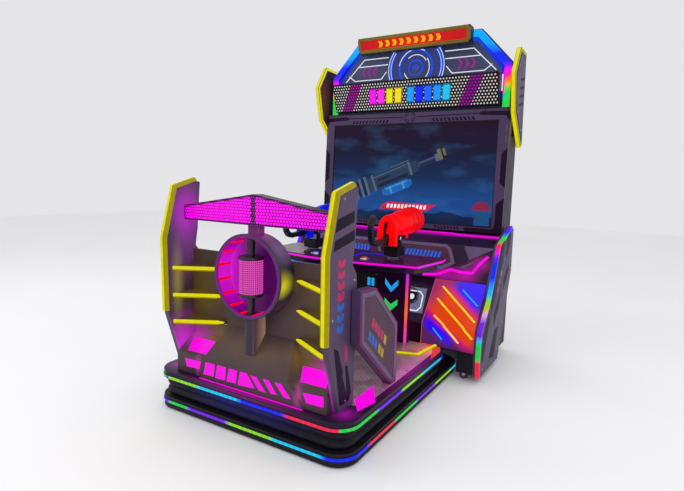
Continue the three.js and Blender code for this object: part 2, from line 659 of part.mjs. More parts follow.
// Swivelling mount: a foot and stem in the table, a head block, and two cheeks for the gun's trunnion.
function gunYoke(s) {
  const x = s * GUN.x;
  const foot = cylinder('z', 40, 8, [x, GUN.y, TABLE.top + GAP + 4]);
  const stem = cylinder('z', 18, 30, [x, GUN.y, TABLE.top + GAP + 15], 20);
  const head = box(x - YOKE.half, x + YOKE.half, GUN.y - 42, GUN.y + 62, YOKE.bottom, YOKE.top);
  const cheeks = [-1, 1].map((c) => {
    const near = c > 0 ? x + YOKE.half - YOKE.cheek : x - YOKE.half;
    return box(near, near + YOKE.cheek, GUN.y - 18, GUN.y + 18, YOKE.top - 2, GUN.pivotZ + 17);
  });
  const bore = cylinder('x', 11, 140, [x, GUN.y, GUN.pivotZ], 20);
  return cut(join(foot, stem, head, ...cheeks), bore);
}

// The gun is drawn level, with its trunnion at the origin and its muzzle along +Y.
const gunFrame = (s) => new THREE.Matrix4()
  .makeTranslation(s * GUN.x, GUN.y, GUN.pivotZ)
  .multiply(new THREE.Matrix4().makeRotationX(GUN.lift));

function onGun(solid, s) {
  const geometry = toGeometry(solid);
  geometry.applyMatrix4(gunFrame(s));
  return toSolid(geometry);
}

// Round shroud over the barrel, with its muzzle recessed.
function gunShroud() {
  const profile = [
    [0, -60], [46, -60], [60, -45], [70, 0], [79, 60], [86, 140], [90, 220], [89, 290], [76, 322], [54, 322],
    [54, 280], [0, 280],
  ];
  const geometry = new THREE.LatheGeometry(profile.map(([r, y]) => new THREE.Vector2(r, y)), 28);
  geometry.translate(0, 0, SHROUD_Z);
  return toSolid(geometry);
}

// Cowl behind the shroud: an upside-down U whose two raked legs stand either side of the gun.
function gunCowl() {
  const half = [
    [COWL.outer, COWL.foot], [COWL.outer, 66], [60, 118], [38, 146], [14, 160], [0, 160], [0, 120],
    [COWL.inner - 6, 110], [COWL.inner, 92], [COWL.inner, COWL.foot],
  ];
  const arch = prismY(half, -150, 30).add(prismY(mirrorX(half), -150, 30));
  const rake = prismX([[-128, COWL.foot - 5], [-88, COWL.foot - 5], [-60, 60], [30, 84], [30, 165], [-95, 165]], -90, 90);
  return arch.intersect(rake);
}

// Handle behind the cowl: a C-shaped bar on an arm, notched at the front for the trigger.
function gunHandle() {
  const bar = prismX([
    [-300, -12], [-322, 28], [-338, 78], [-334, 128], [-312, 168], [-286, 182], [-268, 174], [-272, 156],
    [-294, 144], [-306, 118], [-308, 80], [-294, 34], [-272, 0],
  ], -HANDLE_HALF, HANDLE_HALF);
  const arm = prismX([[-296, -12], [-276, 24], [-100, 26], [-40, 45], [-40, -10], [-110, -6]], -HANDLE_HALF, HANDLE_HALF);
  const notch = prismX([[TRIGGER.y - 12, 82], [TRIGGER.y + 40, 82], [TRIGGER.y + 40, 147], [TRIGGER.y - 12, 147]], -7, 7);
  const pin = cylinder('x', 3, 2 * HANDLE_HALF - 4, [0, TRIGGER.y, TRIGGER.z], 12);
  return join(cut(join(bar, arm), notch), pin);
}

function gun(s) {
  const trunnion = cylinder('x', 10, 2 * YOKE.half - 4, [0, 0, 0], 20);
  const cradle = box(-34, 34, -40, 110, -20, 40);
  const rib = prismX([[30, -24], [118, -24], [150, 10], [205, 24], [205, 60], [-60, 60], [-60, 20]], -26, 26);
  return onGun(join(trunnion, cradle, rib, gunShroud(), gunCowl(), gunHandle()), s);
}

// Finger lever that hangs from a pin in the handle's notch.
function trigger(s) {
  const { y, z, hub } = TRIGGER;
  const boss = cylinder('x', hub, 10, [0, y, z], 16);
  const blade = prismX([
    [y - 3, z], [y + 5, z + 2], [y + 19, z - 14], [y + 24, z - 34], [y + 18, z - 46], [y + 12, z - 44], [y + 15, z - 32],
  ], -5, 5);
  const bore = cylinder('x', 3.3, 20, [0, y, z], 12);
  return onGun(cut(join(boss, blade), bore), s);
}

const computer = () => box(60, 260, 820, 1090, SHELL_FLOOR + BOARD + GAP, 330);

// ---- assembly -----------------------------------------------------------------------------------

add('cabinet_shell', cabinetShell(), DARK, 0.6);
add('rear_door', rearDoor(), DARK, 0.6);
add('base_frame', baseFrame(), BLACK, 0.5, 0.6);
add('bezel', bezel(), SLATE, 0.45);
add('monitor', monitor(), 0x10233f, 0.15);
add('console', consolePanel(), DARK, 0.45);
add('recess_panel', recessPanel(), SLATE, 0.5);
add('arch_frame', archFrame(), BLACK, 0.5);
add('arch_light', archLight(), 0x2060ff, 0.3);
add('hud_panel', hudPanel(), SLATE, 0.4);
add('speaker_box', speakerBox(), BLACK, 0.6);
add('sign', sign(), 0xb02020, 0.4);
add('computer', computer(), STEEL, 0.4, 0.8);
add('tray', tray(), BLACK, 0.5, 0.4);
add('pivot_post', pivotPost(), STEEL, 0.4, 0.8);
add('gimbal_cross', gimbalCross(), STEEL, 0.3, 0.9);
add('bellows', bellows(), BLACK, 0.7);
add('deck', deck(), DARK, 0.4, 0.3);
add('back_wall', backWall(), SLATE, 0.5);
add('trunk', trunk(), SLATE, 0.5);
add('ring_housing', ringHousing(), SLATE, 0.4);
add('ring_drum', ringDrum(), MAGENTA, 0.4);
add('crossbar', crossbar(), MAGENTA, 0.4);
add('gun_table', gunTable(), DARK, 0.3);
add('table_column', tableColumn(), DARK, 0.3);
add('coin_door', coinDoor(), BLACK, 0.4, 0.5);

for (const [name, roll] of [['pitch', false], ['roll', true]]) {
  add(`${name}_motor`, driveMotor(roll), 0x3a5a86, 0.5, 0.5);
  add(`${name}_crank`, driveCrank(roll), STEEL, 0.3, 0.9);
  add(`${name}_rod`, driveRod(roll), STEEL, 0.3, 0.9);
}

for (const { side, s } of sides) {
  add(`side_wing_${side}`, sideWing(s), SLATE, 0.45);
  add(`wing_light_${side}`, wingLight(s), 0x30c0ff, 0.3);
  add(`neon_panel_${side}`, neonPanel(s), 0xb04030, 0.4);
  add(`ear_${side}`, ear(s), DARK, 0.5);
  add(`caster_fork_${side}`, casterFork(s), STEEL, 0.35, 0.9);
  const wheelX = s * (CASTER.x - CASTER.trail);
  add(`front_wheel_${side}`, casterWheel('y', [wheelX, CASTER.frontY, CASTER.axleZ]), 0x3a1a24, 0.5);
  add(`rear_wheel_${side}`, casterWheel('x', [s * CASTER.x, CASTER.rearY, CASTER.axleZ]), 0x3a1a24, 0.5);
  add(`upright_${side}`, upright(s), SLATE, 0.45);
  add(`upright_light_${side}`, uprightLight(s), YELLOW, 0.3);
  add(`shield_${side}`, shield(s), SLATE, 0.45);
  add(`start_button_${side}`, startButton(s), 0x2040ff, 0.3);
  add(`gun_yoke_${side}`, gunYoke(s), BLACK, 0.4, 0.6);
  add(`gun_${side}`, gun(s), s > 0 ? 0xd01010 : 0x1030d0, 0.35);
  add(`trigger_${side}`, trigger(s), BLACK, 0.4);
}

export default cabinet;
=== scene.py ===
import json
import math

import bmesh
import bpy
from mathutils import Matrix, Vector


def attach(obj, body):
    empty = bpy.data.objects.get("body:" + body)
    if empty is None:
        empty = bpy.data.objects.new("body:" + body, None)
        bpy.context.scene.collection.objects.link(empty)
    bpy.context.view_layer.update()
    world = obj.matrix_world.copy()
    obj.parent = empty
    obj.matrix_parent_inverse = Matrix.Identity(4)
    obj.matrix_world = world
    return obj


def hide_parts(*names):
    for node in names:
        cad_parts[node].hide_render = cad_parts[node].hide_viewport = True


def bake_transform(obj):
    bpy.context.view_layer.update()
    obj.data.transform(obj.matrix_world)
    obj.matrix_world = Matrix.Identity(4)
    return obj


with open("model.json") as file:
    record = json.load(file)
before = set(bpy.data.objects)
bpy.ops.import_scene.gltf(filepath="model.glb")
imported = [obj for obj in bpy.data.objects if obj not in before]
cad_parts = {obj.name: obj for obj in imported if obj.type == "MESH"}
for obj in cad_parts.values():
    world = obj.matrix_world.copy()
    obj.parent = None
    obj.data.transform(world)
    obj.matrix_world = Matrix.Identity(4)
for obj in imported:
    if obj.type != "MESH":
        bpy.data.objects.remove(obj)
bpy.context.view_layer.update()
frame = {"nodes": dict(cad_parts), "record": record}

MM = 0.001  # a millimetre, in metres
BODY = {node: body for body, nodes in frame["record"]["behaviour"]["bodies"].items() for node in nodes}
SIDES = (("right", False), ("left", True))  # every pair is built on the right and mirrored for the left


# ---- camera, light and floor --------------------------------------------------------------------

CAMERA_PLACE, CAMERA_LENS, CAMERA_SENSOR = (1.707, -2.961, 1.339), 26.39, 36
CAMERA_YAW, CAMERA_PITCH, CAMERA_ROLL = 31.0, 7.57, 1.54
STUDIO_WHITE, STUDIO_STRENGTH = (0.98, 0.98, 1.0, 1), 0.80
FLOOR_SIZE, FLOOR_DROP = 14000, 0.0005


def make_camera():
    """Eye-level view from the players' right, a little downwards."""
    yaw, pitch, roll = (math.radians(a) for a in (CAMERA_YAW, CAMERA_PITCH, CAMERA_ROLL))
    forward = Vector((-math.sin(yaw) * math.cos(pitch), math.cos(yaw) * math.cos(pitch), -math.sin(pitch)))
    level = forward.cross(Vector((0, 0, 1))).normalized()
    above = level.cross(forward)
    right = level * math.cos(roll) + above * math.sin(roll)
    up = above * math.cos(roll) - level * math.sin(roll)
    data = bpy.data.cameras.new("camera")
    data.sensor_width = CAMERA_SENSOR
    data.lens = CAMERA_LENS
    camera = bpy.data.objects.new("camera", data)
    turn = Matrix((right, up, -forward)).transposed().to_4x4()
    camera.matrix_world = Matrix.Translation(CAMERA_PLACE) @ turn
    bpy.context.scene.collection.objects.link(camera)
    bpy.context.scene.camera = camera


def area_light(name, place, target, size, power, color=(1, 1, 1)):
    data = bpy.data.lights.new(name, "AREA")
    data.shape = "RECTANGLE"
    data.size, data.size_y = size
    data.energy = power
    data.color = color
    lamp = bpy.data.objects.new(name, data)
    aim = (Vector(target) - Vector(place)).to_track_quat("-Z", "Y")
    lamp.matrix_world = Matrix.Translation(place) @ aim.to_matrix().to_4x4()
    bpy.context.scene.collection.objects.link(lamp)


def make_studio():
    world = bpy.data.worlds.new("studio")
    world.use_nodes = True
    background = world.node_tree.nodes["Background"]
    background.inputs["Color"].default_value = STUDIO_WHITE
    background.inputs["Strength"].default_value = STUDIO_STRENGTH
    bpy.context.scene.world = world
    bpy.context.scene.view_settings.view_transform = "Standard"
    area_light("key", (3.6, -5.2, 4.6), (0, 0, 1), (3.0, 3.0), 80)
    area_light("fill", (-5.0, -3.2, 3.4), (0, 0, 1), (3.0, 3.0), 45, (1.0, 0.97, 0.93))
    area_light("top", (0, 0, 5.2), (0, 0, 0), (3.5, 3.5), 50)


def make_floor():
    bm = bmesh.new()
    bmesh.ops.create_grid(bm, x_segments=2, y_segments=2, size=FLOOR_SIZE)
    g = Graph("studio_floor")
    g.set(Base_Color=g.ramp(g.noise(0.6, 3), [(0.3, (0.93, 0.93, 0.94)), (0.7, (0.96, 0.96, 0.97))]),
          Roughness=0.6)
    floor = finish_piece("floor", bm, g.material, None)
    floor.location.z = -FLOOR_DROP


# ---- materials ----------------------------------------------------------------------------------

class Graph:
    """A material's node tree, with a Principled shader at its end."""

    def __init__(self, name):
        self.material = bpy.data.materials.new(name)
        self.material.use_nodes = True
        self.tree = self.material.node_tree
        self.shader = self.tree.nodes["Principled BSDF"]
        self.place = self.add("TexCoord").outputs["Object"]

    def add(self, kind, **settings):
        """A node. A setting that is one of its sockets is linked or filled, and any other is a property."""
        node = self.tree.nodes.new("ShaderNode" + kind)
        for key, value in settings.items():
            socket = node.inputs.get(key.replace("_", " "))
            if socket is None:
                setattr(node, key, value)
            else:
                self.put(socket, value)
        return node

    def put(self, socket, value):
        if isinstance(value, bpy.types.NodeSocket):
            self.tree.links.new(value, socket)
        else:
            socket.default_value = value

    def set(self, **values):
        for key, value in values.items():
            self.put(self.shader.inputs[key.replace("_", " ")], value)

    def math(self, operation, a, b=0.0, c=0.0):
        node = self.tree.nodes.new("ShaderNodeMath")
        node.operation = operation
        for socket, value in zip(node.inputs, (a, b, c)):
            self.put(socket, value)
        return node.outputs[0]

    def noise(self, scale, detail=4.0, vector=None):
        node = self.add("TexNoise", Scale=scale, Detail=detail, Vector=vector or self.place)
        return node.outputs["Fac"]

    def vary(self, scale, detail, amount, base):
        """A base value with noise on it."""
        return self.math("MULTIPLY_ADD", self.noise(scale, detail), amount, base)

    def split(self, vector=None):
        return self.add("SeparateXYZ", Vector=vector or self.place).outputs

    def span(self, value, low, high):
        """0 to 1 between two values."""
        node = self.add("MapRange", Value=value)
        node.inputs["From Min"].default_value = low
        node.inputs["From Max"].default_value = high
        return node.outputs[0]

    def ramp(self, value, stops):
        node = self.add("ValToRGB", Fac=value)
        band = node.color_ramp
        while len(band.elements) < len(stops):
            band.elements.new(1.0)
        for element, (position, color) in zip(band.elements, stops):
            element.position = position
            element.color = (*color, 1)
        return node.outputs["Color"]

    def mix(self, factor, a, b, blend="MIX"):
        node = self.add("Mix", data_type="RGBA", blend_type=blend)
        self.put(node.inputs[0], factor)
        for socket, value in ((node.inputs[6], a), (node.inputs[7], b)):
            self.put(socket, value if isinstance(value, bpy.types.NodeSocket) else (*value, 1))
        return node.outputs[2]

    def bump(self, height, strength=0.2, distance=0.001, below=None):
        node = self.add("Bump", Strength=strength, Distance=distance, Height=height)
        if below is not None:
            self.put(node.inputs["Normal"], below)
        return node.outputs["Normal"]


def shade(color, factor):
    return tuple(min(1.0, c * factor) for c in color)


def halos(g, places):
    """Light spilt on a panel by the lamps beside it, the same on both sides of the middle plane.

    Each place is (centre, reach along X, Y and Z, colour), in metres."""
    x, y, z = g.split()
    mirrored_place = g.add("CombineXYZ", X=g.math("ABSOLUTE", x), Y=y, Z=z).outputs[0]
    total = None
    for centre, reach, color in places:
        scaled = g.add("Mapping", vector_type="POINT", Vector=mirrored_place,
                       Scale=tuple(1 / r for r in reach),
                       Location=tuple(-c / r for c, r in zip(centre, reach))).outputs[0]
        far = g.tree.nodes.new("ShaderNodeVectorMath")
        far.operation = "LENGTH"
        g.put(far.inputs[0], scaled)
        near = g.math("MAXIMUM", g.math("SUBTRACT", 1.0, far.outputs["Value"]), 0.0)
        part = g.mix(g.math("POWER", near, 1.6), (0, 0, 0), color)
        total = part if total is None else g.mix(1.0, total, part, "ADD")
    g.set(Emission_Color=total, Emission_Strength=1.0)


DUST = (0.22, 0.19, 0.25)


def moulding(name, color, rough=0.42, coat=0.0, metal=0.0, grain=0.12, shine=0.25, spill=()):
    """Painted or moulded panel: fine texture, slow colour drift, rub marks and a little dust."""
    g = Graph(name)
    if spill:
        halos(g, spill)
    drift = g.ramp(g.noise(2.3, 5), [(0.3, shade(color, 0.78)), (0.7, shade(color, 1.22))])
    rub = g.ramp(g.noise(26, 8), [(0.60, (0, 0, 0)), (0.78, (1, 1, 1))])
    g.set(Base_Color=g.mix(g.math("MULTIPLY", rub, 0.05), drift, DUST), Metallic=metal)
    g.set(Roughness=g.vary(14, 6, 0.22, rough - 0.11))
    fine = g.bump(g.noise(900, 2), grain, 0.0004)
    g.set(Normal=g.bump(g.noise(5, 2), 0.05, 0.003, fine), Coat_Weight=coat, Coat_Roughness=0.18)
    g.set(Specular_IOR_Level=shine)
    return g.material


def brushed(name, color, rough=0.32):
    """Machined or zinc plated steel with fine lines along Y and small stains."""
    g = Graph(name)
    stretched = g.add("Mapping", Vector=g.place, Scale=(700, 12, 700)).outputs["Vector"]
    lines = g.noise(1.0, 3, stretched)
    g.set(Base_Color=g.ramp(g.noise(30, 5), [(0.35, shade(color, 0.8)), (0.65, shade(color, 1.12))]),
          Metallic=1.0)
    g.set(Roughness=g.math("MULTIPLY_ADD", lines, 0.25, rough - 0.1), Normal=g.bump(lines, 0.15, 0.0003))
    return g.material


def rubber(name, color, spill=()):
    """Soft rubber with chalky wear on its high spots."""
    g = Graph(name)
    if spill:
        halos(g, spill)
    wear = g.ramp(g.noise(60, 8), [(0.45, color), (0.75, shade(color, 2.6))])
    g.set(Base_Color=wear, Roughness=g.vary(45, 5, 0.25, 0.42), Specular_IOR_Level=0.2)
    g.set(Normal=g.bump(g.noise(240, 4), 0.35, 0.0008))
    return g.material


def lamp(name, color, strength=1.0):
    """Lit diffuser: even colour, with the faint light and dark of the LEDs behind it."""
    g = Graph(name)
    glow = g.vary(38, 2, 0.36 * strength, 0.72 * strength)
    g.set(Base_Color=g.mix(g.noise(80, 3), shade(color, 0.04), shade(color, 0.12)), Roughness=0.35)
    g.set(Emission_Color=(*color, 1), Emission_Strength=glow, Specular_IOR_Level=0.12)
    return g.material


def faded_lamp(name, axis, low, high, stops, strength=1.0):
    """Lit diffuser whose colour changes along X, Y or Z, between two places in metres."""
    g = Graph(name)
    place = g.split()[axis]
    wander = g.vary(9, 2, 0.03, -0.015)
    color = g.ramp(g.span(g.math("ADD", place, wander), low, high), stops)
    g.set(Base_Color=g.mix(0.9, color, (0, 0, 0)), Roughness=0.35, Specular_IOR_Level=0.12)
    g.set(Emission_Color=color, Emission_Strength=g.vary(45, 2, 0.5 * strength, 0.75 * strength))
    return g.material


GREEN, VIOLET, LIME = (0.02, 0.55, 0.06), (0.16, 0.01, 0.75), (0.22, 0.60, 0.02)
CYAN, BLUE, RED = (0.01, 0.48, 0.75), (0.005, 0.02, 0.90), (0.75, 0.02, 0.06)
MAGENTA, YELLOW, ORANGE = (0.95, 0.0, 0.85), (0.72, 0.66, 0.0), (0.95, 0.16, 0.01)
PINK, AZURE, WHITE = (0.80, 0.01, 0.22), (0.005, 0.28, 0.95), (0.85, 0.92, 1.0)


CHASE_LENGTH, CHASE_START, CHASE_BLUR, LED_PITCH = 1.8, 0.15, 0.012, 0.0333


def chasing_lamp(name, shift):
    """Base light strip: six colours in turn along the strip's own length, over and over."""
    g = Graph(name)
    length = g.split(g.add("UVMap").outputs["UV"])[0]
    turn = g.math("FRACT", g.math("MULTIPLY_ADD", length, 1 / CHASE_LENGTH,
                                  (CHASE_START + shift) / CHASE_LENGTH))
    colors, stops = (GREEN, VIOLET, LIME, CYAN, BLUE, RED), []
    for i, color in enumerate(colors):
        stops += [(i / len(colors) + CHASE_BLUR, color), ((i + 1) / len(colors) - CHASE_BLUR, color)]
    color = g.ramp(turn, stops)
    dots = g.math("SINE", g.math("MULTIPLY", length, 2 * math.pi / LED_PITCH))
    g.set(Base_Color=g.mix(0.9, color, (0, 0, 0)), Roughness=0.3, Specular_IOR_Level=0.12)
    g.set(Emission_Color=color, Emission_Strength=g.math("MULTIPLY_ADD", dots, 0.12, 1.05))
    return g.material


STAGGER = 1.732


def centred(g, value, scale, shift=0.0):
    """-0.5 to 0.5 over each repeat of a pattern."""
    return g.math("SUBTRACT", g.math("FRACT", g.math("MULTIPLY_ADD", value, scale, shift)), 0.5)


def dot_mask(g, u, v, pitch, radius):
    """1 inside round dots in staggered rows, 0 between them."""
    row = pitch * STAGGER
    found = []
    for shift in (0.0, 0.5):
        a, b = centred(g, u, 1 / pitch, shift), centred(g, v, 1 / row, shift)
        far = g.math("ADD", g.math("POWER", g.math("MULTIPLY", a, pitch), 2.0),
                     g.math("POWER", g.math("MULTIPLY", b, row), 2.0))
        found.append(g.math("LESS_THAN", far, radius * radius))
    return g.math("MAXIMUM", *found)


def lit_mesh(name, sheet, light, pitch, radius, strength=1.0, metal=0.4):
    """Perforated sheet with light behind its holes."""
    g = Graph(name)
    x, _, z = g.split()
    mask = dot_mask(g, x, z, pitch, radius)
    g.set(Base_Color=g.mix(mask, sheet, shade(light, 0.6)),
          Metallic=g.math("MULTIPLY", g.math("SUBTRACT", 1.0, mask), metal), Specular_IOR_Level=0.15)
    g.set(Roughness=g.vary(60, 4, 0.2, 0.3), Normal=g.bump(mask, -0.6, 0.0012))
    uneven = g.vary(7, 2, 0.6 * strength, 0.7 * strength)
    g.set(Emission_Color=(*light, 1), Emission_Strength=g.math("MULTIPLY", mask, uneven))
    return g.material


TREAD_PITCH, TREAD_LENGTH, TREAD_WIDTH = 0.026, 2.3, 8.0


def tread_plate(name):
    """Embossed floor plate: short bars in two directions, worn bright on top."""
    g = Graph(name)
    turned = g.add("Mapping", Vector=g.place, Rotation=(0, 0, math.radians(45))).outputs["Vector"]
    u, v, _ = g.split(turned)
    heights = []
    for first, second, shift in ((u, v, 0.0), (v, u, 0.5)):
        a, b = (centred(g, value, 1 / TREAD_PITCH, shift) for value in (first, second))
        far = g.math("ADD", g.math("POWER", g.math("MULTIPLY", a, TREAD_LENGTH), 2.0),
                     g.math("POWER", g.math("MULTIPLY", b, TREAD_WIDTH), 2.0))
        heights.append(g.math("MAXIMUM", g.math("SUBTRACT", 1.0, far), 0.0))
    bars = g.math("MAXIMUM", *heights)
    base = g.ramp(g.noise(8, 6), [(0.35, (0.28, 0.15, 0.20)), (0.65, (0.62, 0.40, 0.46))])
    g.set(Base_Color=g.mix(g.math("MULTIPLY", bars, 0.6), base, (0.85, 0.75, 0.82)), Metallic=0.55)
    g.set(Roughness=g.vary(22, 5, 0.25, 0.22), Normal=g.bump(bars, 0.9, 0.0015))
    halos(g, [((0.60, -0.30, 0.227), (0.14, 0.55, 0.05), (0.30, 0.01, 0.22)),
              ((0.58, 0.10, 0.227), (0.22, 0.26, 0.05), (0.75, 0.10, 0.0))])
    return g.material


def gun_shell(name, color, deep):
    """Translucent gloss shroud lit from inside."""
    g = Graph(name)
    tone = g.ramp(g.noise(12, 4), [(0.3, deep), (0.7, color)])
    g.set(Base_Color=g.mix(0.85, tone, (0, 0, 0)), Roughness=g.vary(50, 4, 0.15, 0.22))
    g.set(Specular_IOR_Level=0.10, Emission_Color=tone, Emission_Strength=1.0,
          Normal=g.bump(g.noise(30, 3), 0.05, 0.001))
    return g.material


SLATE, DARK, BLACK = (0.058, 0.032, 0.088), (0.018, 0.006, 0.030), (0.006, 0.004, 0.009)
WARM = (0.060, 0.034, 0.042)
# Light that falls on a panel from the lamps near it: centre, reach and colour, as halos() takes them.
WALL_SPILL = [
    ((0.42, -0.95, 0.66), (0.30, 0.30, 0.42), (0.055, 0.040, 0.0)),
    ((0.225, -1.03, 0.80), (0.05, 0.10, 0.10), (0.75, 0.66, 0.0)),
    ((0.30, -0.96, 0.44), (0.14, 0.10, 0.10), (0.10, 0.055, 0.0)),
    ((0.345, -1.07, 0.29), (0.035, 0.16, 0.10), (0.36, 0.01, 0.24)),
    ((0.46, -0.95, 0.40), (0.16, 0.12, 0.13), (0.45, 0.0, 0.40)),
    ((0.10, -0.98, 0.42), (0.24, 0.16, 0.10), (0.06, 0.035, 0.0)),
    ((0.10, -1.03, 1.055), (0.2, 0.2, 0.06), (0.30, 0.0, 0.25)),
]
HOUSING_SPILL = [
    ((0.225, -1.03, 0.80), (0.05, 0.10, 0.11), (0.75, 0.66, 0.0)),
    ((0.17, -1.0, 1.0), (0.14, 0.14, 0.14), (0.16, 0.08, 0.20)),
    ((0.032, -0.955, 0.50), (0.030, 0.11, 0.50), (0.26, 0.15, 0.10)),
    ((0.10, -1.03, 1.055), (0.2, 0.2, 0.06), (0.30, 0.0, 0.25)),
    ((0.20, -0.98, 0.66), (0.12, 0.12, 0.14), (0.05, 0.02, 0.03)),
]
UPRIGHT_SPILL = [
    ((0.500, -0.99, 1.13), (0.03, 0.16, 0.22), (0.75, 0.0, 0.80)),
    ((0.500, -1.03, 0.36), (0.03, 0.20, 0.26), (0.95, 0.0, 0.92)),
    ((0.500, -1.06, 0.74), (0.03, 0.06, 0.32), (0.30, 0.24, 0.0)),
    ((0.500, -0.98, 0.90), (0.03, 0.20, 0.20), (0.14, 0.01, 0.16)),
]
CONSOLE_SPILL = [
    ((0.0, 0.83, 0.937), (9.0, 0.09, 0.03), (0.60, 0.0, 0.50)),
    ((0.745, 0.55, 0.765), (0.12, 0.10, 0.09), (0.42, 0.0, 0.30)),
    ((0.66, 0.51, 0.69), (0.14, 0.10, 0.085), (0.50, 0.0, 0.34)),
    ((0.50, 0.50, 0.685), (0.16, 0.10, 0.075), (0.50, 0.0, 0.34)),
    ((0.60, 0.48, 0.645), (0.25, 0.06, 0.05), (0.20, 0.0, 0.13)),
]
DECK_SPILL = [
    ((0.04, -1.105, 0.224), (0.50, 0.035, 0.03), (0.34, 0.0, 0.26)),
    ((0.57, -1.0, 0.224), (0.10, 0.10, 0.03), (0.30, 0.0, 0.28)),
    ((0.62, -0.30, 0.224), (0.06, 0.60, 0.03), (0.20, 0.0, 0.16)),
]
M = {
    "slate": moulding("slate_panel", SLATE, 0.42),
    "slate_light": moulding("slate_rim", (0.115, 0.075, 0.165), 0.40),
    "slate_warm": moulding("backrest_panel", WARM, 0.42, spill=WALL_SPILL),
    "upright": moulding("upright_panel", (0.078, 0.045, 0.105), 0.42, spill=UPRIGHT_SPILL),
    "housing": moulding("ring_housing_panel", (0.030, 0.017, 0.036), 0.42, spill=HOUSING_SPILL),
    "ear": moulding("ear_panel", DARK, 0.34, shine=0.12,
                    spill=[((0.79, 0.86, 2.05), (0.035, 0.22, 0.42), (0.40, 0.15, 0.03))]),
    "console": moulding("console_panel", DARK, 0.32, 0.06, shine=0.15, spill=CONSOLE_SPILL),
    "deck": moulding("deck_panel", DARK, 0.34, shine=0.12, spill=DECK_SPILL),
    "hud": moulding("hud_panel", (0.055, 0.070, 0.150), 0.4, shine=0.2),
    "inner": moulding("gun_inside", (0.05, 0.0, 0.03), 0.4, shine=0.1),
    "gloss": moulding("table_gloss", (0.030, 0.003, 0.040), 0.22, 0.05, grain=0.04, shine=0.15),
    "maroon": moulding("maroon_panel", (0.060, 0.012, 0.045), 0.35),
    "black": moulding("black_trim", BLACK, 0.38),
    "laminate": moulding("cabinet_laminate", (0.022, 0.013, 0.034), 0.5, grain=0.35, shine=0.2,
                         spill=[((0.80, 0.88, 1.80), (0.03, 0.10, 0.24), (0.55, 0.46, 0.0))]),
    "powder": moulding("powder_coat", (0.010, 0.007, 0.013), 0.5, metal=0.2, grain=0.5),
    "decal": moulding("dark_decal", (0.010, 0.003, 0.018), 0.5, grain=0.05, shine=0.1),
    "steel": brushed("zinc_steel", (0.55, 0.56, 0.58)),
    "chrome": brushed("screw_steel", (0.62, 0.60, 0.64), 0.2),
    "rod": moulding("drum_rod", (0.035, 0.028, 0.038), 0.3, 0.2, 0.6),
    "motor": moulding("motor_enamel", (0.05, 0.11, 0.24), 0.4, 0.2, 0.2),
    "rubber": rubber("skirt_rubber", (0.0030, 0.0022, 0.007),
                     [((0.10, -1.08, 0.16), (0.42, 0.2, 0.10), (0.006, 0.004, 0.11))]),
    "tyre": rubber("wheel_rubber", (0.10, 0.015, 0.035)),
    "tread": tread_plate("tread_plate"),
    "yellow": lamp("yellow_light", (0.78, 0.70, 0.0), 1.0),
    # Painted shade: a darker copy of the yellow light for the side facets of the light strips and the lower
    # facets of the fins.
    "yellow_painted_shade": lamp("yellow_light_painted_shade", (0.34, 0.28, 0.0), 1.0),
    "shield_line": lamp("shield_line", (0.38, 0.01, 0.14), 0.9),
    "ring_edge": lamp("ring_edge", (0.26, 0.01, 0.26), 0.8),
    "yellow_deep": lamp("yellow_light_under", (0.72, 0.60, 0.0), 2.6),
    "magenta": lamp("magenta_light", (0.86, 0.0, 0.70), 1.15),
    "red": lamp("red_light", (1.0, 0.0, 0.002), 1.2),
    "blue": lamp("blue_light", BLUE, 1.2),
    "cyan": lamp("cyan_light", (0.01, 0.38, 0.85), 1.0),
    "green": lamp("green_light", (0.02, 0.70, 0.12), 0.9),
    "amber": lamp("amber_tube", (1.0, 0.52, 0.02), 1.4),
    "white": lamp("white_light", WHITE, 0.95),
    "pink_glow": lamp("arrow_glow", (0.42, 0.01, 0.32), 0.9),
    "blue_glow": lamp("title_glow", (0.01, 0.13, 0.80), 0.9),
    "frost": lamp("frosted_panel", (0.19, 0.20, 0.33), 0.8),
    "gold": moulding("gold_frame", (0.20, 0.125, 0.004), 0.38, 0.1),
    "pink_print": moulding("pink_print", (0.42, 0.012, 0.10), 0.38),
    "blue_print": moulding("blue_print", (0.02, 0.10, 0.42), 0.38),
    "gold_print": moulding("gold_print", (0.42, 0.28, 0.01), 0.38),
}


# ---- geometry -----------------------------------------------------------------------------------

BEVEL_ANGLE, FLAT_ANGLE, WELD = 28, 0.6, 1e-6


def finish_piece(name, bm, material, body, replaced=(), place=None, mirror=False, bevel=0.0, sharp=32,
                 segments=2, second=None):
    """Makes an object from a bmesh in millimetres and puts it on its body. A piece with no body is left
    unattached.
    """
    if place is not None:
        bm.transform(place)
    bm.transform(Matrix.Scale(MM, 4))
    if mirror:
        bm.transform(Matrix.Diagonal((-1, 1, 1, 1)))
    bmesh.ops.recalc_face_normals(bm, faces=bm.faces)
    mesh = bpy.data.meshes.new(name)
    bm.to_mesh(mesh)
    bm.free()
    for choice in (material, second) if second else (material,):
        mesh.materials.append(M[choice] if isinstance(choice, str) else choice)
    mesh.polygons.foreach_set("use_smooth", [True] * len(mesh.polygons))
    mesh.set_sharp_from_angle(angle=math.radians(sharp))
    obj = bpy.data.objects.new(name, mesh)
    bpy.context.scene.collection.objects.link(obj)
    if bevel:
        edge = obj.modifiers.new("edge", "BEVEL")
        edge.width = bevel * MM
        edge.segments = segments
        edge.limit_method = "ANGLE"
        edge.angle_limit = math.radians(BEVEL_ANGLE)
        edge.harden_normals = True
    if body:
        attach(obj, body)
    if replaced:
        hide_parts(*replaced)
    return obj


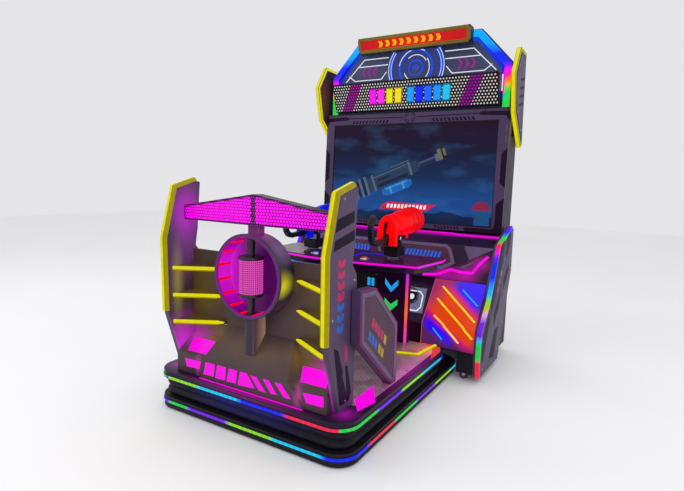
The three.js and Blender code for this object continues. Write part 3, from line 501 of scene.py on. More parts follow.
def dress(node, material, bevel=1.5, segments=2):
    """The CAD node's own shape, with its flat faces made whole and its edges rounded."""
    bm = bmesh.new()
    bm.from_mesh(frame["nodes"][node].data)
    bmesh.ops.remove_doubles(bm, verts=bm.verts, dist=WELD)
    bmesh.ops.dissolve_limit(bm, angle_limit=math.radians(FLAT_ANGLE), verts=bm.verts, edges=bm.edges)
    bm.transform(Matrix.Scale(1 / MM, 4))
    return finish_piece(node + ".look", bm, material, BODY[node], (node,), bevel=bevel, segments=segments)


AXES = {"x": lambda a, u, v: (a, u, v), "y": lambda a, u, v: (u, a, v), "z": lambda a, u, v: (u, v, a)}


def prism(name, axis, outlines, low, high, material, body, **more):
    """Flat plates: each outline is pulled along an axis between two distances."""
    bm = bmesh.new()
    put = AXES[axis]
    for outline in outlines:
        bottom = [bm.verts.new(put(low, *p)) for p in outline]
        top = [bm.verts.new(put(high, *p)) for p in outline]
        bm.faces.new(bottom)
        bm.faces.new(top)
        for i in range(len(outline)):
            j = (i + 1) % len(outline)
            bm.faces.new((bottom[i], bottom[j], top[j], top[i]))
    return finish_piece(name, bm, material, body, **more)


SHARPEST_MITRE = 0.3


def sweep(name, paths, profile, material, body, up=(0, 0, 1), closed=False, sides=(), **more):
    """A strip of one cross-section along each path, mitred at its corners. U is its length in metres.

    The profile's edges in sides take the second material."""
    bm = bmesh.new()
    layer = bm.loops.layers.uv.new("UVMap")
    up = Vector(up)
    for path in paths:
        points = [Vector(p) for p in path]
        count, run, rings, marks = len(points), 0.0, [], []
        for i, point in enumerate(points):
            before = (point - points[i - 1]).normalized() if closed or i else None
            after = (points[(i + 1) % count] - point).normalized() if closed or i < count - 1 else None
            tangents = [t for t in (before, after) if t is not None]
            across = [t.cross(up).normalized() for t in tangents]
            side = sum(across, Vector()).normalized()
            stretch = 1 / max(SHARPEST_MITRE, side.dot(across[0]))
            if len(tangents) == 1:
                lift = across[0].cross(tangents[0]).normalized()
            else:
                lift = side.cross(sum(tangents, Vector()).normalized()).normalized()
            rings.append([bm.verts.new(point + side * (a * stretch) + lift * b) for a, b in profile])
            run += (point - points[i - 1]).length if i else 0.0
            marks.append(run)
        if closed:
            rings.append(rings[0])
            marks.append(run + (points[0] - points[-1]).length)
        for i in range(len(rings) - 1):
            for j in range(len(profile)):
                k = (j + 1) % len(profile)
                face = bm.faces.new((rings[i][j], rings[i][k], rings[i + 1][k], rings[i + 1][j]))
                face.material_index = int(j in sides)
                for loop, mark, part in zip(face.loops, (i, i, i + 1, i + 1), (j, j + 1, j + 1, j)):
                    loop[layer].uv = (marks[mark] * MM, part / len(profile))
        if not closed:
            bm.faces.new(rings[0])
            bm.faces.new(rings[-1])
    return finish_piece(name, bm, material, body, **more)


def rounded(a0, a1, b0, b1, r=1.5):
    """Cross-section of a strip with eased corners."""
    return [(a0 + r, b0), (a1 - r, b0), (a1, b0 + r), (a1, b1 - r), (a1 - r, b1), (a0 + r, b1), (a0, b1 - r),
            (a0, b0 + r)]


def circle(radius, count=12):
    turns = [2 * math.pi * i / count for i in range(count)]
    return [(radius * math.cos(t), radius * math.sin(t)) for t in turns]


def tube(name, paths, radius, material, body, up=(0, 0, 1), **more):
    return sweep(name, paths, circle(radius), material, body, up=up, sharp=60, **more)


def pointed(axis, direction=1):
    """Turns Z onto an axis, or against it."""
    if axis == "z":
        return Matrix.Rotation(0 if direction > 0 else math.pi, 4, "X")
    quarter = math.pi / 2 * direction
    return Matrix.Rotation(quarter, 4, "Y") if axis == "x" else Matrix.Rotation(-quarter, 4, "X")


def lathe(name, profiles, material, body, axis="y", centre=(0, 0, 0), segments=64, sharp=32, **more):
    """Turned shapes: each profile is a list of (radius, distance along the axis)."""
    bm = bmesh.new()
    for profile in profiles:
        rings = []
        for radius, along in profile:
            if radius == 0:
                rings.append([bm.verts.new((0, 0, along))] * segments)
            else:
                rings.append([bm.verts.new((x, y, along)) for x, y in circle(radius, segments)])
        for low, high in zip(rings[:-1], rings[1:]):
            for i in range(segments):
                j = (i + 1) % segments
                corners = list(dict.fromkeys((low[i], low[j], high[j], high[i])))
                if len(corners) > 2:
                    bm.faces.new(corners)
    place = more.pop("place", Matrix()) @ Matrix.Translation(centre) @ pointed(axis)
    return finish_piece(name, bm, material, body, place=place, sharp=sharp, **more)


def offset(points, distance):
    """A closed outline moved sideways to the left of its direction, with its corners kept sharp."""
    count, moved = len(points), []
    for i, (x, y) in enumerate(points):
        normals = []
        for j, k in ((i - 1, i), (i, i + 1)):
            (x0, y0), (x1, y1) = points[j % count], points[k % count]
            length = math.hypot(x1 - x0, y1 - y0)
            normals.append((-(y1 - y0) / length, (x1 - x0) / length))
        a, b = normals
        scale = distance / (1 + a[0] * b[0] + a[1] * b[1])
        moved.append((x + (a[0] + b[0]) * scale, y + (a[1] + b[1]) * scale))
    return moved


def panel(x0, z0, x1, z1):
    return [(x0, z0), (x1, z0), (x1, z1), (x0, z1)]


def mirrored(outline):
    return [(-x, v) for x, v in reversed(outline)]


def band(outline, width):
    """Closed outline as a ring of quads, each a plate of its own."""
    inner = offset(outline, width)
    count = len(outline)
    return [[outline[i], outline[(i + 1) % count], inner[(i + 1) % count], inner[i]] for i in range(count)]


def arc(outer, inner, start, stop, centre, count=24):
    """Ring segment as a row of quads, between two angles in degrees."""
    points = []
    for i in range(count + 1):
        t = math.radians(start + (stop - start) * i / count)
        points.append([(centre[0] + r * math.cos(t), centre[1] + r * math.sin(t)) for r in (outer, inner)])
    return [[a[0], b[0], b[1], a[1]] for a, b in zip(points[:-1], points[1:])]


class Slope:
    """A facet that leans back or forward, from (y0, z0) at its foot to (y1, z1) at its top.

    In its lean, X is the part's, Y climbs the facet and Z stands off it."""

    def __init__(self, y0, z0, y1, z1):
        self.foot, self.depth, self.length = y0, y1 - y0, math.hypot(y1 - y0, z1 - z0)
        c, s = self.depth / self.length, (z1 - z0) / self.length
        self.lean = Matrix(((1, 0, 0, 0), (0, c, -s, y0), (0, s, c, z0), (0, 0, 0, 1)))

    def over(self, x, y):
        """The facet's point at the part's X and Y."""
        return (x, (y - self.foot) * self.length / self.depth)


def screws(name, spots, axis, direction, body, radius=5.0, mirror=False):
    """Screw heads, each a shallow dome with a round socket."""
    profile = [(0, -1.2), (radius * 0.42, -1.2), (radius * 0.46, 0.9), (radius * 0.75, 0.9), (radius, 0.1),
               (radius, -0.4)]
    bm = bmesh.new()
    for spot in spots:
        turn = Matrix.Translation(spot) @ pointed(axis, direction)
        rings = [[bm.verts.new(turn @ Vector((x, y, h))) for x, y in circle(r)] for r, h in profile]
        for low, high in zip(rings[:-1], rings[1:]):
            for i in range(len(low)):
                j = (i + 1) % len(low)
                bm.faces.new((low[i], low[j], high[j], high[i]))
        bmesh.ops.contextual_create(bm, geom=rings[0])
    return finish_piece(name, bm, "chrome", body, mirror=mirror)


# ---- cabinet ------------------------------------------------------------------------------------

BEZEL_FRONT, BEZEL_BOTTOM, BEZEL_LEAN = 868, 960, math.atan(32 / 930)
BEZEL_FOOT = Matrix.Translation((0, BEZEL_FRONT, BEZEL_BOTTOM))
LEAN = BEZEL_FOOT @ Matrix.Rotation(-BEZEL_LEAN, 4, "X") @ BEZEL_FOOT.inverted()
SCREEN_HALF, SCREEN_LOW, SCREEN_HIGH = 719.5, 997, 1806


def on_bezel(name, outlines, span, material, **more):
    """Flat shapes that lean with the bezel. The span is two distances behind its front, along Y."""
    low, high = (BEZEL_FRONT + y for y in span)
    prism(name, "y", outlines, low, high, material, BODY["bezel"], place=LEAN, **more)


def screen_material():
    """A night landscape with drifting cloud, a far shore and a glow on the water."""
    g = Graph("screen_picture")
    x, _, z = g.split()
    heights = [(0.0, (0.004, 0.02, 0.08)), (0.14, (0.010, 0.060, 0.26)), (0.30, (0.006, 0.050, 0.20)),
               (0.45, (0.005, 0.020, 0.08)), (0.7, (0.007, 0.006, 0.030)), (1.0, (0.014, 0.001, 0.012))]
    sky = g.ramp(g.span(z, 1.0, 1.81), heights)
    stretched = g.add("Mapping", Vector=g.place, Scale=(1.2, 1, 3.4)).outputs["Vector"]
    cloud = g.ramp(g.noise(2.4, 9, stretched), [(0.50, (0, 0, 0)), (0.80, (0.01, 0.07, 0.15))])
    ridge = g.math("MULTIPLY_ADD", g.noise(4.5, 8, g.add("CombineXYZ", X=x).outputs[0]), 0.16, 1.00)
    shore = g.math("LESS_THAN", z, ridge)
    color = g.mix(g.math("MULTIPLY", shore, 0.75), g.mix(0.8, sky, cloud, "ADD"), (0.002, 0.006, 0.022))
    g.set(Base_Color=(0.004, 0.005, 0.008, 1), Roughness=g.vary(300, 2, 0.03, 0.10))
    g.set(Emission_Color=color, Emission_Strength=1.0, Specular_IOR_Level=0.07,
          Normal=g.bump(g.noise(900, 1), 0.02, 0.0002))
    return g.material


def build_display():
    dress("cabinet_shell", "laminate")
    dress("rear_door", "laminate")
    dress("base_frame", "powder", 0.8)
    dress("bezel", "slate", 2.0)
    dress("monitor", "black", 1.0)
    dress("computer", "steel", 2.0)
    picture = panel(-SCREEN_HALF + 2, SCREEN_LOW + 2, SCREEN_HALF - 2, SCREEN_HIGH - 2)
    on_bezel("screen_face", [picture], (8.5, 9.8), screen_material(), bevel=0.5)
    build_screen_figures()
    edge = panel(-SCREEN_HALF, SCREEN_LOW, SCREEN_HALF, SCREEN_HIGH)
    on_bezel("screen_edge", band(edge, 5), (2, 9), "black")
    build_bezel_print()


def build_screen_figures():
    """Plain figures on the screen: a ringed telescope-like barrel and a banner of blank bars."""
    face, front = (8.1, 8.6), (7.8, 8.1)
    start, end = Vector((-600, 1190)), Vector((330, 1560))
    along = (end - start).normalized()
    across = Vector((-along.y, along.x))

    def slab(t0, t1, w0, w1, shift=0.0):
        """A length of the barrel between two parts of its run, with its half width at each."""
        a, b = start.lerp(end, t0) + across * shift, start.lerp(end, t1) + across * shift
        return [tuple(a + across * w0), tuple(a - across * w0), tuple(b - across * w1),
                tuple(b + across * w1)]

    steel_blue = lamp("screen_steel", (0.025, 0.045, 0.10), 0.9)
    pale = lamp("screen_pale", (0.09, 0.13, 0.24), 0.9)
    deep = lamp("screen_deep", (0.006, 0.02, 0.06), 0.8)
    barrel = [slab(0.0, 0.30, 62, 56), slab(0.30, 0.74, 64, 44), slab(0.74, 0.91, 24, 18),
              slab(0.50, 0.69, 20, 16, 58)]
    on_bezel("screen_barrel", barrel, face, steel_blue)
    coils = [slab(t, t + 0.024, 84, 84) for t in (0.015, 0.070, 0.125, 0.180, 0.235)]
    coils += [slab(0.31, 0.33, 72, 72), slab(0.66, 0.68, 56, 56), slab(0.90, 0.93, 30, 30)]
    on_bezel("screen_coils", coils, front, pale)
    shades = [slab(t, t + 0.028, 70, 70) for t in (0.040, 0.096, 0.152, 0.206)]
    shades += [slab(0.35, 0.64, 15, 12, -36), slab(0.36, 0.48, 9, 8, 12), slab(0.76, 0.89, 6, 5, -10)]
    on_bezel("screen_shade", shades, front, deep)
    shine = [slab(0.34, 0.65, 4, 3, 44), slab(0.51, 0.68, 3, 3, 70), slab(0.75, 0.90, 3, 3, 14)]
    on_bezel("screen_shine", shine, front, pale)
    azure = lamp("screen_azure", (0.010, 0.14, 0.50), 0.9)
    tank = [slab(0.40, 0.62, 38, 38, -104), slab(0.37, 0.40, 26, 30, -104), slab(0.62, 0.65, 30, 22, -104)]
    on_bezel("screen_tank", tank, face, azure)
    straps = [slab(0.41, 0.61, 6, 6, -84), slab(0.44, 0.46, 30, 30, -104), slab(0.56, 0.58, 30, 30, -104)]
    on_bezel("screen_tank_shine", straps, front, lamp("screen_sky", (0.06, 0.30, 0.62), 0.9))
    sights = [slab(0.93, 0.96, 44, 44, 14), slab(0.975, 0.995, 30, 30, 20)]
    on_bezel("screen_sight", sights, front, lamp("screen_sand", (0.20, 0.17, 0.09), 0.8))
    dome = [(632 + x, 1126 + y) for x, y in circle(70, 24)[:13]]
    on_bezel("screen_dome", [dome], face, lamp("screen_dome", (0.28, 0.020, 0.07), 0.8))
    shaft = [(574, 1010), (590, 1126), (690, 1126), (700, 1010)]
    on_bezel("screen_shaft", [shaft], face, lamp("screen_shaft", (0.012, 0.09, 0.26), 0.8))
    banner = [[(-236, 1096), (190, 1098), (205, 1112), (268, 1150), (70, 1152), (-160, 1160), (-214, 1130)]]
    blend = [(0.0, (0.55, 0.01, 0.02)), (0.6, (0.75, 0.01, 0.05)), (1.0, (0.60, 0.01, 0.05))]
    on_bezel("screen_banner", banner, (7.9, 8.6), faded_lamp("screen_banner", 0, -0.24, 0.27, blend))
    bars = [[(x, 1110), (x + 20, 1110), (x + 27, 1142), (x + 7, 1142)] for x in range(-172, 170, 33)]
    on_bezel("screen_bars", bars, (7.5, 8.1), "white")


def build_bezel_print():
    """Dark corner shapes, slanted dashes and a round sight, printed on the bezel."""
    face = (-0.5, 0.2)
    corner = [(-799, 1790), (-770, 1838), (-580, 1846), (-560, 1862), (-600, 1876), (-799, 1868)]
    low = [(-799, 962), (-520, 962), (-500, 978), (-520, 990), (-730, 990), (-742, 1010), (-742, 1180),
           (-799, 1230)]
    mid = [(-799, 1300), (-756, 1340), (-756, 1560), (-799, 1600)]
    shapes = [corner, low, mid]
    on_bezel("bezel_shapes", shapes + [mirrored(s) for s in shapes], face, "decal")
    dashes = []
    for start, count, pitch, z, tall in ((-540, 11, 32, 1812, 26), (-470, 8, 26, 970, 20)):
        for x in (start + pitch * i for i in range(count)):
            dashes.append([(x, z), (x + pitch * 0.55, z), (x + pitch, z + tall),
                           (x + pitch * 0.45, z + tall)])
    on_bezel("bezel_dashes", dashes + [mirrored(d) for d in dashes], face, "decal")
    sight = []
    for outer, inner in ((48, 41), (31, 26)):
        sight += [quad for i, quad in enumerate(arc(outer, inner, 0, 360, (0, 1852))) if i % 6]
    sight += [[(-560, 1856), (-62, 1850), (-58, 1857), (-560, 1863)],
              [(58, 1857), (62, 1850), (560, 1856), (560, 1863)]]
    on_bezel("bezel_sight", sight, face, "decal")
    ticks = [panel(x - 3, z, x + 3, z + 50) for x in (-781, 781) for z in (1640, 1720)]
    on_bezel("bezel_ticks", ticks, face, "slate_light")


CONSOLE, NEON, RECESS = Slope(488, 640, 613, 880), Slope(248, 365, 478, 638), Slope(458, 300, 612, 636)
GRILLE, SIGN = Slope(903, 1918, 830, 2142), Slope(876, 2384, 843, 2500)


def build_console():
    root = BODY["console"]
    dress("console", "console", 2.0)
    line = [(-800, 818, 927), (-470, 818, 927), (-430, 822, 936), (430, 822, 936), (470, 818, 927),
            (800, 818, 927)]
    sweep("console_line", [line], rounded(-5, 5, 0, 9), "magenta", root)
    for side, flip in SIDES:
        on = {"place": CONSOLE.lean, "mirror": flip}
        hexagon = [(40, 560), (100, 622), (470, 622), (512, 597), (560, 545), (470, 520), (70, 520)]
        outline = [CONSOLE.over(x, min(y, 611)) for x, y in hexagon]
        prism(f"console_frame_{side}", "z", band(outline[::-1], 25), -0.4, 3.0, "slate_light", root, **on,
              bevel=0.8)
        prism(f"console_inset_{side}", "z", [offset(outline[::-1], 26)], -0.4, 0.8, "maroon", root, **on)
        bar = ((0, 541), (16, 541), (30, 583), (14, 583))
        bars = [[CONSOLE.over(x + dx, y) for dx, y in bar] for x in range(150, 420, 29)]
        prism(f"console_bars_{side}", "z", bars, 0.7, 1.6, "blue_glow", root, **on)
        jagged = [(790, 581), (744, 554), (701, 518), (618, 517), (539, 522), (453, 501), (340, 494)]
        path = [(*CONSOLE.over(x, y), 2.5) for x, y in jagged]
        sweep(f"console_zigzag_{side}", [path], rounded(-10, 10, 0, 6, 2), "magenta", root, **on)
        panels = [[(601, 611), (657, 564), (810, 605), (810, 611)],
                  [(593, 534), (636, 533), (681, 547), (700, 560)]]
        plates = [[CONSOLE.over(x, y) for x, y in outline] for outline in panels]
        prism(f"console_panels_{side}", "z", plates, -0.4, 2.4, "slate_light", root, **on, bevel=0.6)


def on_neon(x, y):
    """Where a tube runs: 7 mm off the neon panel's upper facet."""
    return (*NEON.over(x, y), 7)


def neon_material():
    """Dark diffuser with the light of its slanted tubes on it: blue in two corners, orange between."""
    g = Graph("neon_diffuser")
    x, _, z = g.split()
    side = g.math("ABSOLUTE", x)
    wander = g.vary(7, 2, 0.02, -0.01)
    across = g.math("ADD", g.math("MULTIPLY_ADD", side, 0.54, wander), g.math("MULTIPLY", z, 0.842))
    along = g.math("SUBTRACT", g.math("MULTIPLY", side, 0.842), g.math("MULTIPLY", z, 0.54))
    fire, hot = (0.66, 0.050, 0.004), (0.55, 0.005, 0.16)
    glow, dim = (0.03, 0.003, 0.80), (0.085, 0.014, 0.10)
    spread = g.math("MULTIPLY_ADD", across, 2.5, -1.25)
    middle = [(0.30, hot), (0.37, fire), (0.70, fire), (0.78, hot)]
    lit = g.ramp(spread, [(0.05, dim), (0.14, glow), (0.23, glow), *middle, (0.84, glow), (1.0, glow)])
    plain = g.ramp(spread, [(0.18, dim), *middle, (0.88, dim)])
    tubes = g.ramp(along, [(0.14, (0, 0, 0)), (0.23, (1, 1, 1)), (0.37, (1, 1, 1)), (0.45, (0, 0, 0))])
    main = g.mix(tubes, plain, lit)
    start = g.ramp(along, [(0.08, (1, 1, 1)), (0.20, (0, 0, 0))])
    lower = g.ramp(z, [(0.40, (0, 0, 0)), (0.50, (1, 1, 1))])
    end = g.ramp(along, [(0.50, (0, 0, 0)), (0.60, (1, 1, 1))])
    first = g.mix(g.math("MULTIPLY", start, lower), main, (0.30, 0.02, 0.11))
    second = g.mix(g.math("MULTIPLY", end, 0.9), first, dim)
    g.set(Base_Color=g.mix(0.85, second, (0, 0, 0)), Roughness=g.vary(40, 3, 0.1, 0.2),
          Specular_IOR_Level=0.2)
    g.set(Emission_Color=second, Emission_Strength=1.0, Normal=g.bump(g.noise(60, 3), 0.06, 0.001))
    return g.material


def build_lower_front():
    root = BODY["console"]
    glow = neon_material()
    edge_stops = [(0.0, (0.9, 0.12, 0.01)), (0.55, (0.9, 0.10, 0.02)), (0.8, (0.75, 0.05, 0.35)),
                  (1.0, (0.8, 0.02, 0.7))]
    edge = faded_lamp("recess_edge", 2, 0.21, 0.64, edge_stops, 0.9)
    for side, flip in SIDES:
        dress(f"neon_panel_{side}", glow, 1.2)
        amber = [[(522, 438), (804, 286)], [(509, 372), (744, 249)], [(520, 288), (606, 249)]]
        amber = [[on_neon(x, y) for x, y in pair] for pair in amber]
        tube(f"amber_tubes_{side}", amber, 6, "amber", root, place=NEON.lean, mirror=flip)
        tube(f"blue_tube_{side}", [[on_neon(667, 434), on_neon(794, 365)]], 5.5, "cyan", root,
             place=NEON.lean, mirror=flip)
        low = [[(744, 238, 368), (806, 236, 309)], [(606, 238, 368), (716, 236, 265)]]
        tube(f"low_amber_{side}", low, 6, "amber", root, up=(0, 1, 0), mirror=flip)
        tube(f"low_blue_{side}", [[(530, 237, 341), (600, 236, 269)]], 4.5, "cyan", root, up=(0, 1, 0),
             mirror=flip)
        rim = [(-0.5, 2), (14, 2), (14, -1), (-0.5, -1)]
        side_run = [(446, 241, 210), (446, 248, 365), (446, 478, 638)]
        sweep(f"recess_edge_{side}", [side_run], rim, edge, root, up=(1, 0, 0), mirror=flip)
        trim = [[(449, 238.5, 209), (812, 238.5, 209)]]
        sweep(f"neon_trim_{side}", trim, rounded(-3, 3, -4, 4, 1), "black", root, mirror=flip)
    build_recess(root)


def build_recess(root):
    dress("recess_panel", "slate", 1.0)
    middle, hole_radius = (232, RECESS.length / 2, 0), 58
    turns = [math.radians(45 * i + 22.5) for i in range(8)]
    hole = [(middle[0] + hole_radius * math.cos(t), middle[1] + hole_radius * math.sin(t)) for t in turns]
    rim = panel(108, 58, 356, 260)
    corners = rim[2:] + rim[:2]
    plates = []
    for i in range(4):
        plates.append([corners[i - 1], corners[i], hole[(2 * i + 2) % 8], hole[2 * i + 1], hole[2 * i]])
    octagon = [(159, 71), (305, 71), (334, 104), (334, 200), (305, 230), (159, 230), (130, 200), (130, 104)]
    for side, flip in SIDES:
        on = {"place": RECESS.lean, "mirror": flip}
        prism(f"recess_frost_{side}", "z", plates, -0.3, 1.2, "frost", root, **on)
        prism(f"recess_rim_{side}", "z", band(rim, 5), 0.4, 2.4, "slate_light", root, **on)
        prism(f"recess_line_{side}", "z", band(octagon, 9), 0.6, 3.4, "white", root, **on)
        for part, look, count, profile in (
                ("cone", "black", 36, [(0, -24), (18, -22), (24, -30), (48, -13), (54, -9), (57, -13)]),
                ("rim", "slate_light", 40, [(57, -2), (57, 1.5), (59, 3.5), (64, 3.5), (66, 1), (66, -0.5)]),
                ("cap", "white", 24, [(0, -12), (12, -14), (22, -21)])):
            lathe(f"speaker_{part}_{side}", [profile], look, root, "z", middle, count, **on)
        screws(f"recess_screws_{side}", [(x, 456, z) for z in (290, 170) for x in (146, 334)], "y", -1, root,
               5, flip)
    prism("recess_lower", "y", [panel(-440, 150, 440, 292)], 455.5, 458.2, "maroon", root, bevel=1)


WING_RUN = [(259, 42), (240, 169), (248, 359), (418, 534), (607, 909), (945, 1020)]


def build_wings():
    stops = [(0.0, RED), (0.11, RED), (0.135, GREEN), (0.23, GREEN), (0.26, CYAN), (0.30, VIOLET),
             (0.38, VIOLET), (0.42, (0.70, 0.30, 0.70)), (0.455, (0.5, 0.5, 0.02)), (0.50, LIME),
             (0.54, CYAN), (0.60, AZURE), (0.66, BLUE), (0.76, BLUE), (0.80, VIOLET), (0.83, MAGENTA),
             (0.86, PINK), (0.885, RED), (0.91, GREEN), (0.93, GREEN), (0.955, BLUE), (1.0, VIOLET)]
    rainbow = faded_lamp("wing_rainbow", 2, 0.042, 1.02, stops, 1.0)
    for side, flip in SIDES:
        root = BODY[f"side_wing_{side}"]
        dress(f"side_wing_{side}", "slate", 2.0)
        run = [(847, y, z) for y, z in WING_RUN]
        strip = [(-15, 0), (15, 0), (15, 15), (9, 22), (-9, 22), (-15, 15)]
        turned = [(22 - b, a) for a, b in strip]
        sweep(f"wing_light_{side}.look", [run], turned, rainbow, root, up=(1, 0, 0), mirror=flip,
              replaced=(f"wing_light_{side}",))
        build_wing_print(side, flip, root)


def build_wing_print(side, flip, root):
    """Slanted dark shapes and faint coloured bars on the wing's outer face."""
    face = (861.6, 862.6)
    dark = [
        [(640, 905), (720, 935), (690, 780), (620, 650), (560, 700)],
        [(790, 950), (905, 985), (905, 900), (800, 780)],
        [(455, 520), (560, 700), (600, 640), (470, 430)],
        [(300, 330), (420, 455), (450, 400), (330, 150), (300, 150)],
        [(540, 420), (700, 560), (690, 470), (560, 330)],
        [(760, 640), (900, 740), (905, 690), (780, 560)],
        [(480, 120), (600, 300), (700, 300), (610, 90)],
    ]
    prism(f"wing_shapes_{side}", "x", dark, *face, "decal", root, mirror=flip, bevel=0.3)
    prints = (("pink_print", ((600, 560), (636, 612))), ("gold_print", ((672, 664),)),
              ("blue_print", ((708, 716), (744, 768))))
    for color, rows in prints:
        bars = [[(y, z), (y + 30, z + 22), (y + 30, z + 58), (y, z + 36)] for y, z in rows]
        prism(f"wing_{color}_{side}", "x", bars, face[0], face[1] + 0.3, color, root, mirror=flip)
    spots = [(862.4, 960, 960), (862.4, 950, 700), (862.4, 700, 130), (862.4, 330, 90)]
    screws(f"wing_screws_{side}", spots, "x", 1, root, 6, flip)


# ---- header -------------------------------------------------------------------------------------

ARCH = [(781, 1900.5), (781, 2223), (535, 2490)]


def build_header():
    root = BODY["arch_frame"]
    dress("arch_frame", "black", 2.0)
    dress("hud_panel", "hud", 1.0)
    stops = [(0.0, GREEN), (0.19, GREEN), (0.25, LIME), (0.29, (0.85, 0.35, 0.01)), (0.33, ORANGE),
             (0.39, PINK), (0.47, MAGENTA), (0.52, VIOLET), (0.57, BLUE), (0.68, BLUE), (0.80, AZURE),
             (1.0, (0.0, 0.36, 0.95))]
    arch = faded_lamp("arch_rainbow", 2, 1.9, 2.49, stops, 1.15)
    whole = ARCH + mirrored(ARCH)
    profile = [(8, -7.6), (58, -7.6), (58, 3), (52, 7.6), (14, 7.6), (8, 3)]
    sweep("arch_light.look", [[(x, 948, z) for x, z in whole]], mirrored(profile), arch, root, up=(0, -1, 0),
          replaced=("arch_light",))
    blues = [(0.0, BLUE), (0.15, (0.005, 0.08, 0.9)), (0.3, (0.01, 0.16, 0.9)), (0.7, (0.01, 0.16, 0.9)),
             (0.85, (0.005, 0.08, 0.9)), (1.0, BLUE)]
    prism("hud_glow", "y", band(offset(whole, 60), 24), 967, 970.2,
          faded_lamp("hud_glow", 0, -0.7, 0.7, blues, 0.7), root)
    build_hud_figures(root)
    build_speaker_box(root)
    build_sign(root)
    build_ears(root)


def build_hud_figures(root):
    """Round instrument in the header's middle, white lines and arrows either side."""
    face = (968.2, 970.3)
    centre = (0, 2252)
    blue = lamp("hud_blue", (0.005, 0.10, 0.95), 0.9)
    deep = lamp("hud_deep", (0.045, 0.055, 0.22), 0.8)

    def arcs(*rows):
        """Each row is two radii, two angles and sometimes a number of quads."""
        return [quad for r0, r1, t0, t1, *count in rows for quad in arc(r0, r1, t0, t1, centre, *count)]

    prism("hud_field", "y", arcs((243, 0.1, -25, 205, 40)), 969.4, 970.3, deep, root)
    disc = arcs((243, 212, -25, 36), (243, 212, 144, 205), (150, 135, -40, 220, 40), (66, 56, 0, 360, 36),
                (27, 19, 0, 360))
    prism("hud_blue_arcs", "y", disc, *face, blue, root)
    lines = arcs((245, 240, -25, 36), (245, 240, 144, 205), (222, 218, -25, 36), (222, 218, 144, 205),
                 (151, 145, 60, 170), (106, 100, 30, 130), (106, 100, 200, 250), (122, 116, -40, 35))
    prism("hud_white_arcs", "y", lines, 967.4, 969, "white", root)
    prism("hud_core", "y", arcs((10, 3, 0, 360)), *face, lamp("hud_core", (0.16, 0.06, 0.60), 0.8), root)
    for side, flip in SIDES:
        paths = [[(246, 969, 2357), (476, 969, 2357), (656, 969, 2181)], [(252, 969, 2300), (532, 969, 2300)],
                 [(262, 969, 2243), (310, 969, 2186), (566, 969, 2186), (624, 969, 2228)]]
        sweep(f"hud_lines_{side}", paths, rounded(-3.5, 3.5, -1, 1, 0.4), "white", root, up=(0, -1, 0),
              mirror=flip)
        chevrons = [[(x, 2212), (x + 17, 2212), (x + 43, 2250), (x + 17, 2288), (x, 2288), (x + 26, 2250)]
                    for x in (352, 404, 456)]
        prism(f"hud_chevrons_{side}", "y", chevrons, *face, "pink_glow", root, mirror=flip)


def grille_material():
    """Black grille whose holes show white light, with slanted magenta stripes."""
    g = Graph("speaker_grille")
    x, _, z = g.split()
    mask = dot_mask(g, x, z, 0.0245, 0.0060)
    slant = g.math("SUBTRACT", x, g.math("MULTIPLY", z, 0.56))
    far = g.math("ABSOLUTE", g.math("ADD", slant, 1.146))
    stripe = g.math("MULTIPLY", g.math("GREATER_THAN", far, 0.466), g.math("LESS_THAN", far, 0.566))
    light = g.mix(stripe, (0.72, 0.70, 0.62), (0.46, 0.0, 0.40))
    ground = g.mix(stripe, (0.004, 0.002, 0.008), (0.07, 0.002, 0.08))
    g.set(Base_Color=ground, Roughness=g.vary(50, 3, 0.2, 0.35), Specular_IOR_Level=0.15)
    g.set(Emission_Color=light, Emission_Strength=g.math("MULTIPLY", mask, 0.95),
          Normal=g.bump(mask, -0.5, 0.001))
    return g.material


def build_speaker_box(root):
    dress("speaker_box", "black", 2.0)
    lean, height = GRILLE.lean, GRILLE.length
    prism("speaker_grille", "z", [panel(-701, 7, 701, height - 7)], 0.3, 2.2, grille_material(), root,
          place=lean, bevel=0.6)
    rim = band(panel(-708, 1, 708, height - 1), 7)
    prism("grille_frame", "z", rim, 0.2, 4.0, "powder", root, place=lean, bevel=1)
    tints = (MAGENTA, (0.90, 0.02, 0.75), YELLOW, (0.80, 0.62, 0.01), (0.01, 0.30, 0.90), BLUE,
             (0.01, 0.12, 0.95), AZURE, CYAN)
    starts = [-362 + 77 * i for i in range(4)] + [-22 + 75 * i for i in range(5)]
    for i, (x, tint) in enumerate(zip(starts, tints)):
        slab = [(x, 60), (x + 52, 60), (x + 66, 168), (x + 14, 168)]
        prism(f"title_slab_{i}", "z", [slab], 2.0, 7.0, lamp(f"title_{i}", tint, 1.2), root, place=lean,
              bevel=1.5, segments=2)
        halo = [(x - 7, 50), (x + 58, 50), (x + 74, 178), (x + 8, 178)]
        prism(f"title_halo_{i}", "z", [halo], 2.0, 2.9, lamp(f"title_halo_{i}", shade(tint, 0.45), 0.9), root,
              place=lean)
    for name, *corners in (("white", 711, 2020, 718.5, 2140), ("magenta", 720, 2000, 731.5, 2162)):
        tick = panel(*corners)
        prism(f"header_ticks_{name}", "y", [tick, mirrored(tick)], 937, 940, name, root)


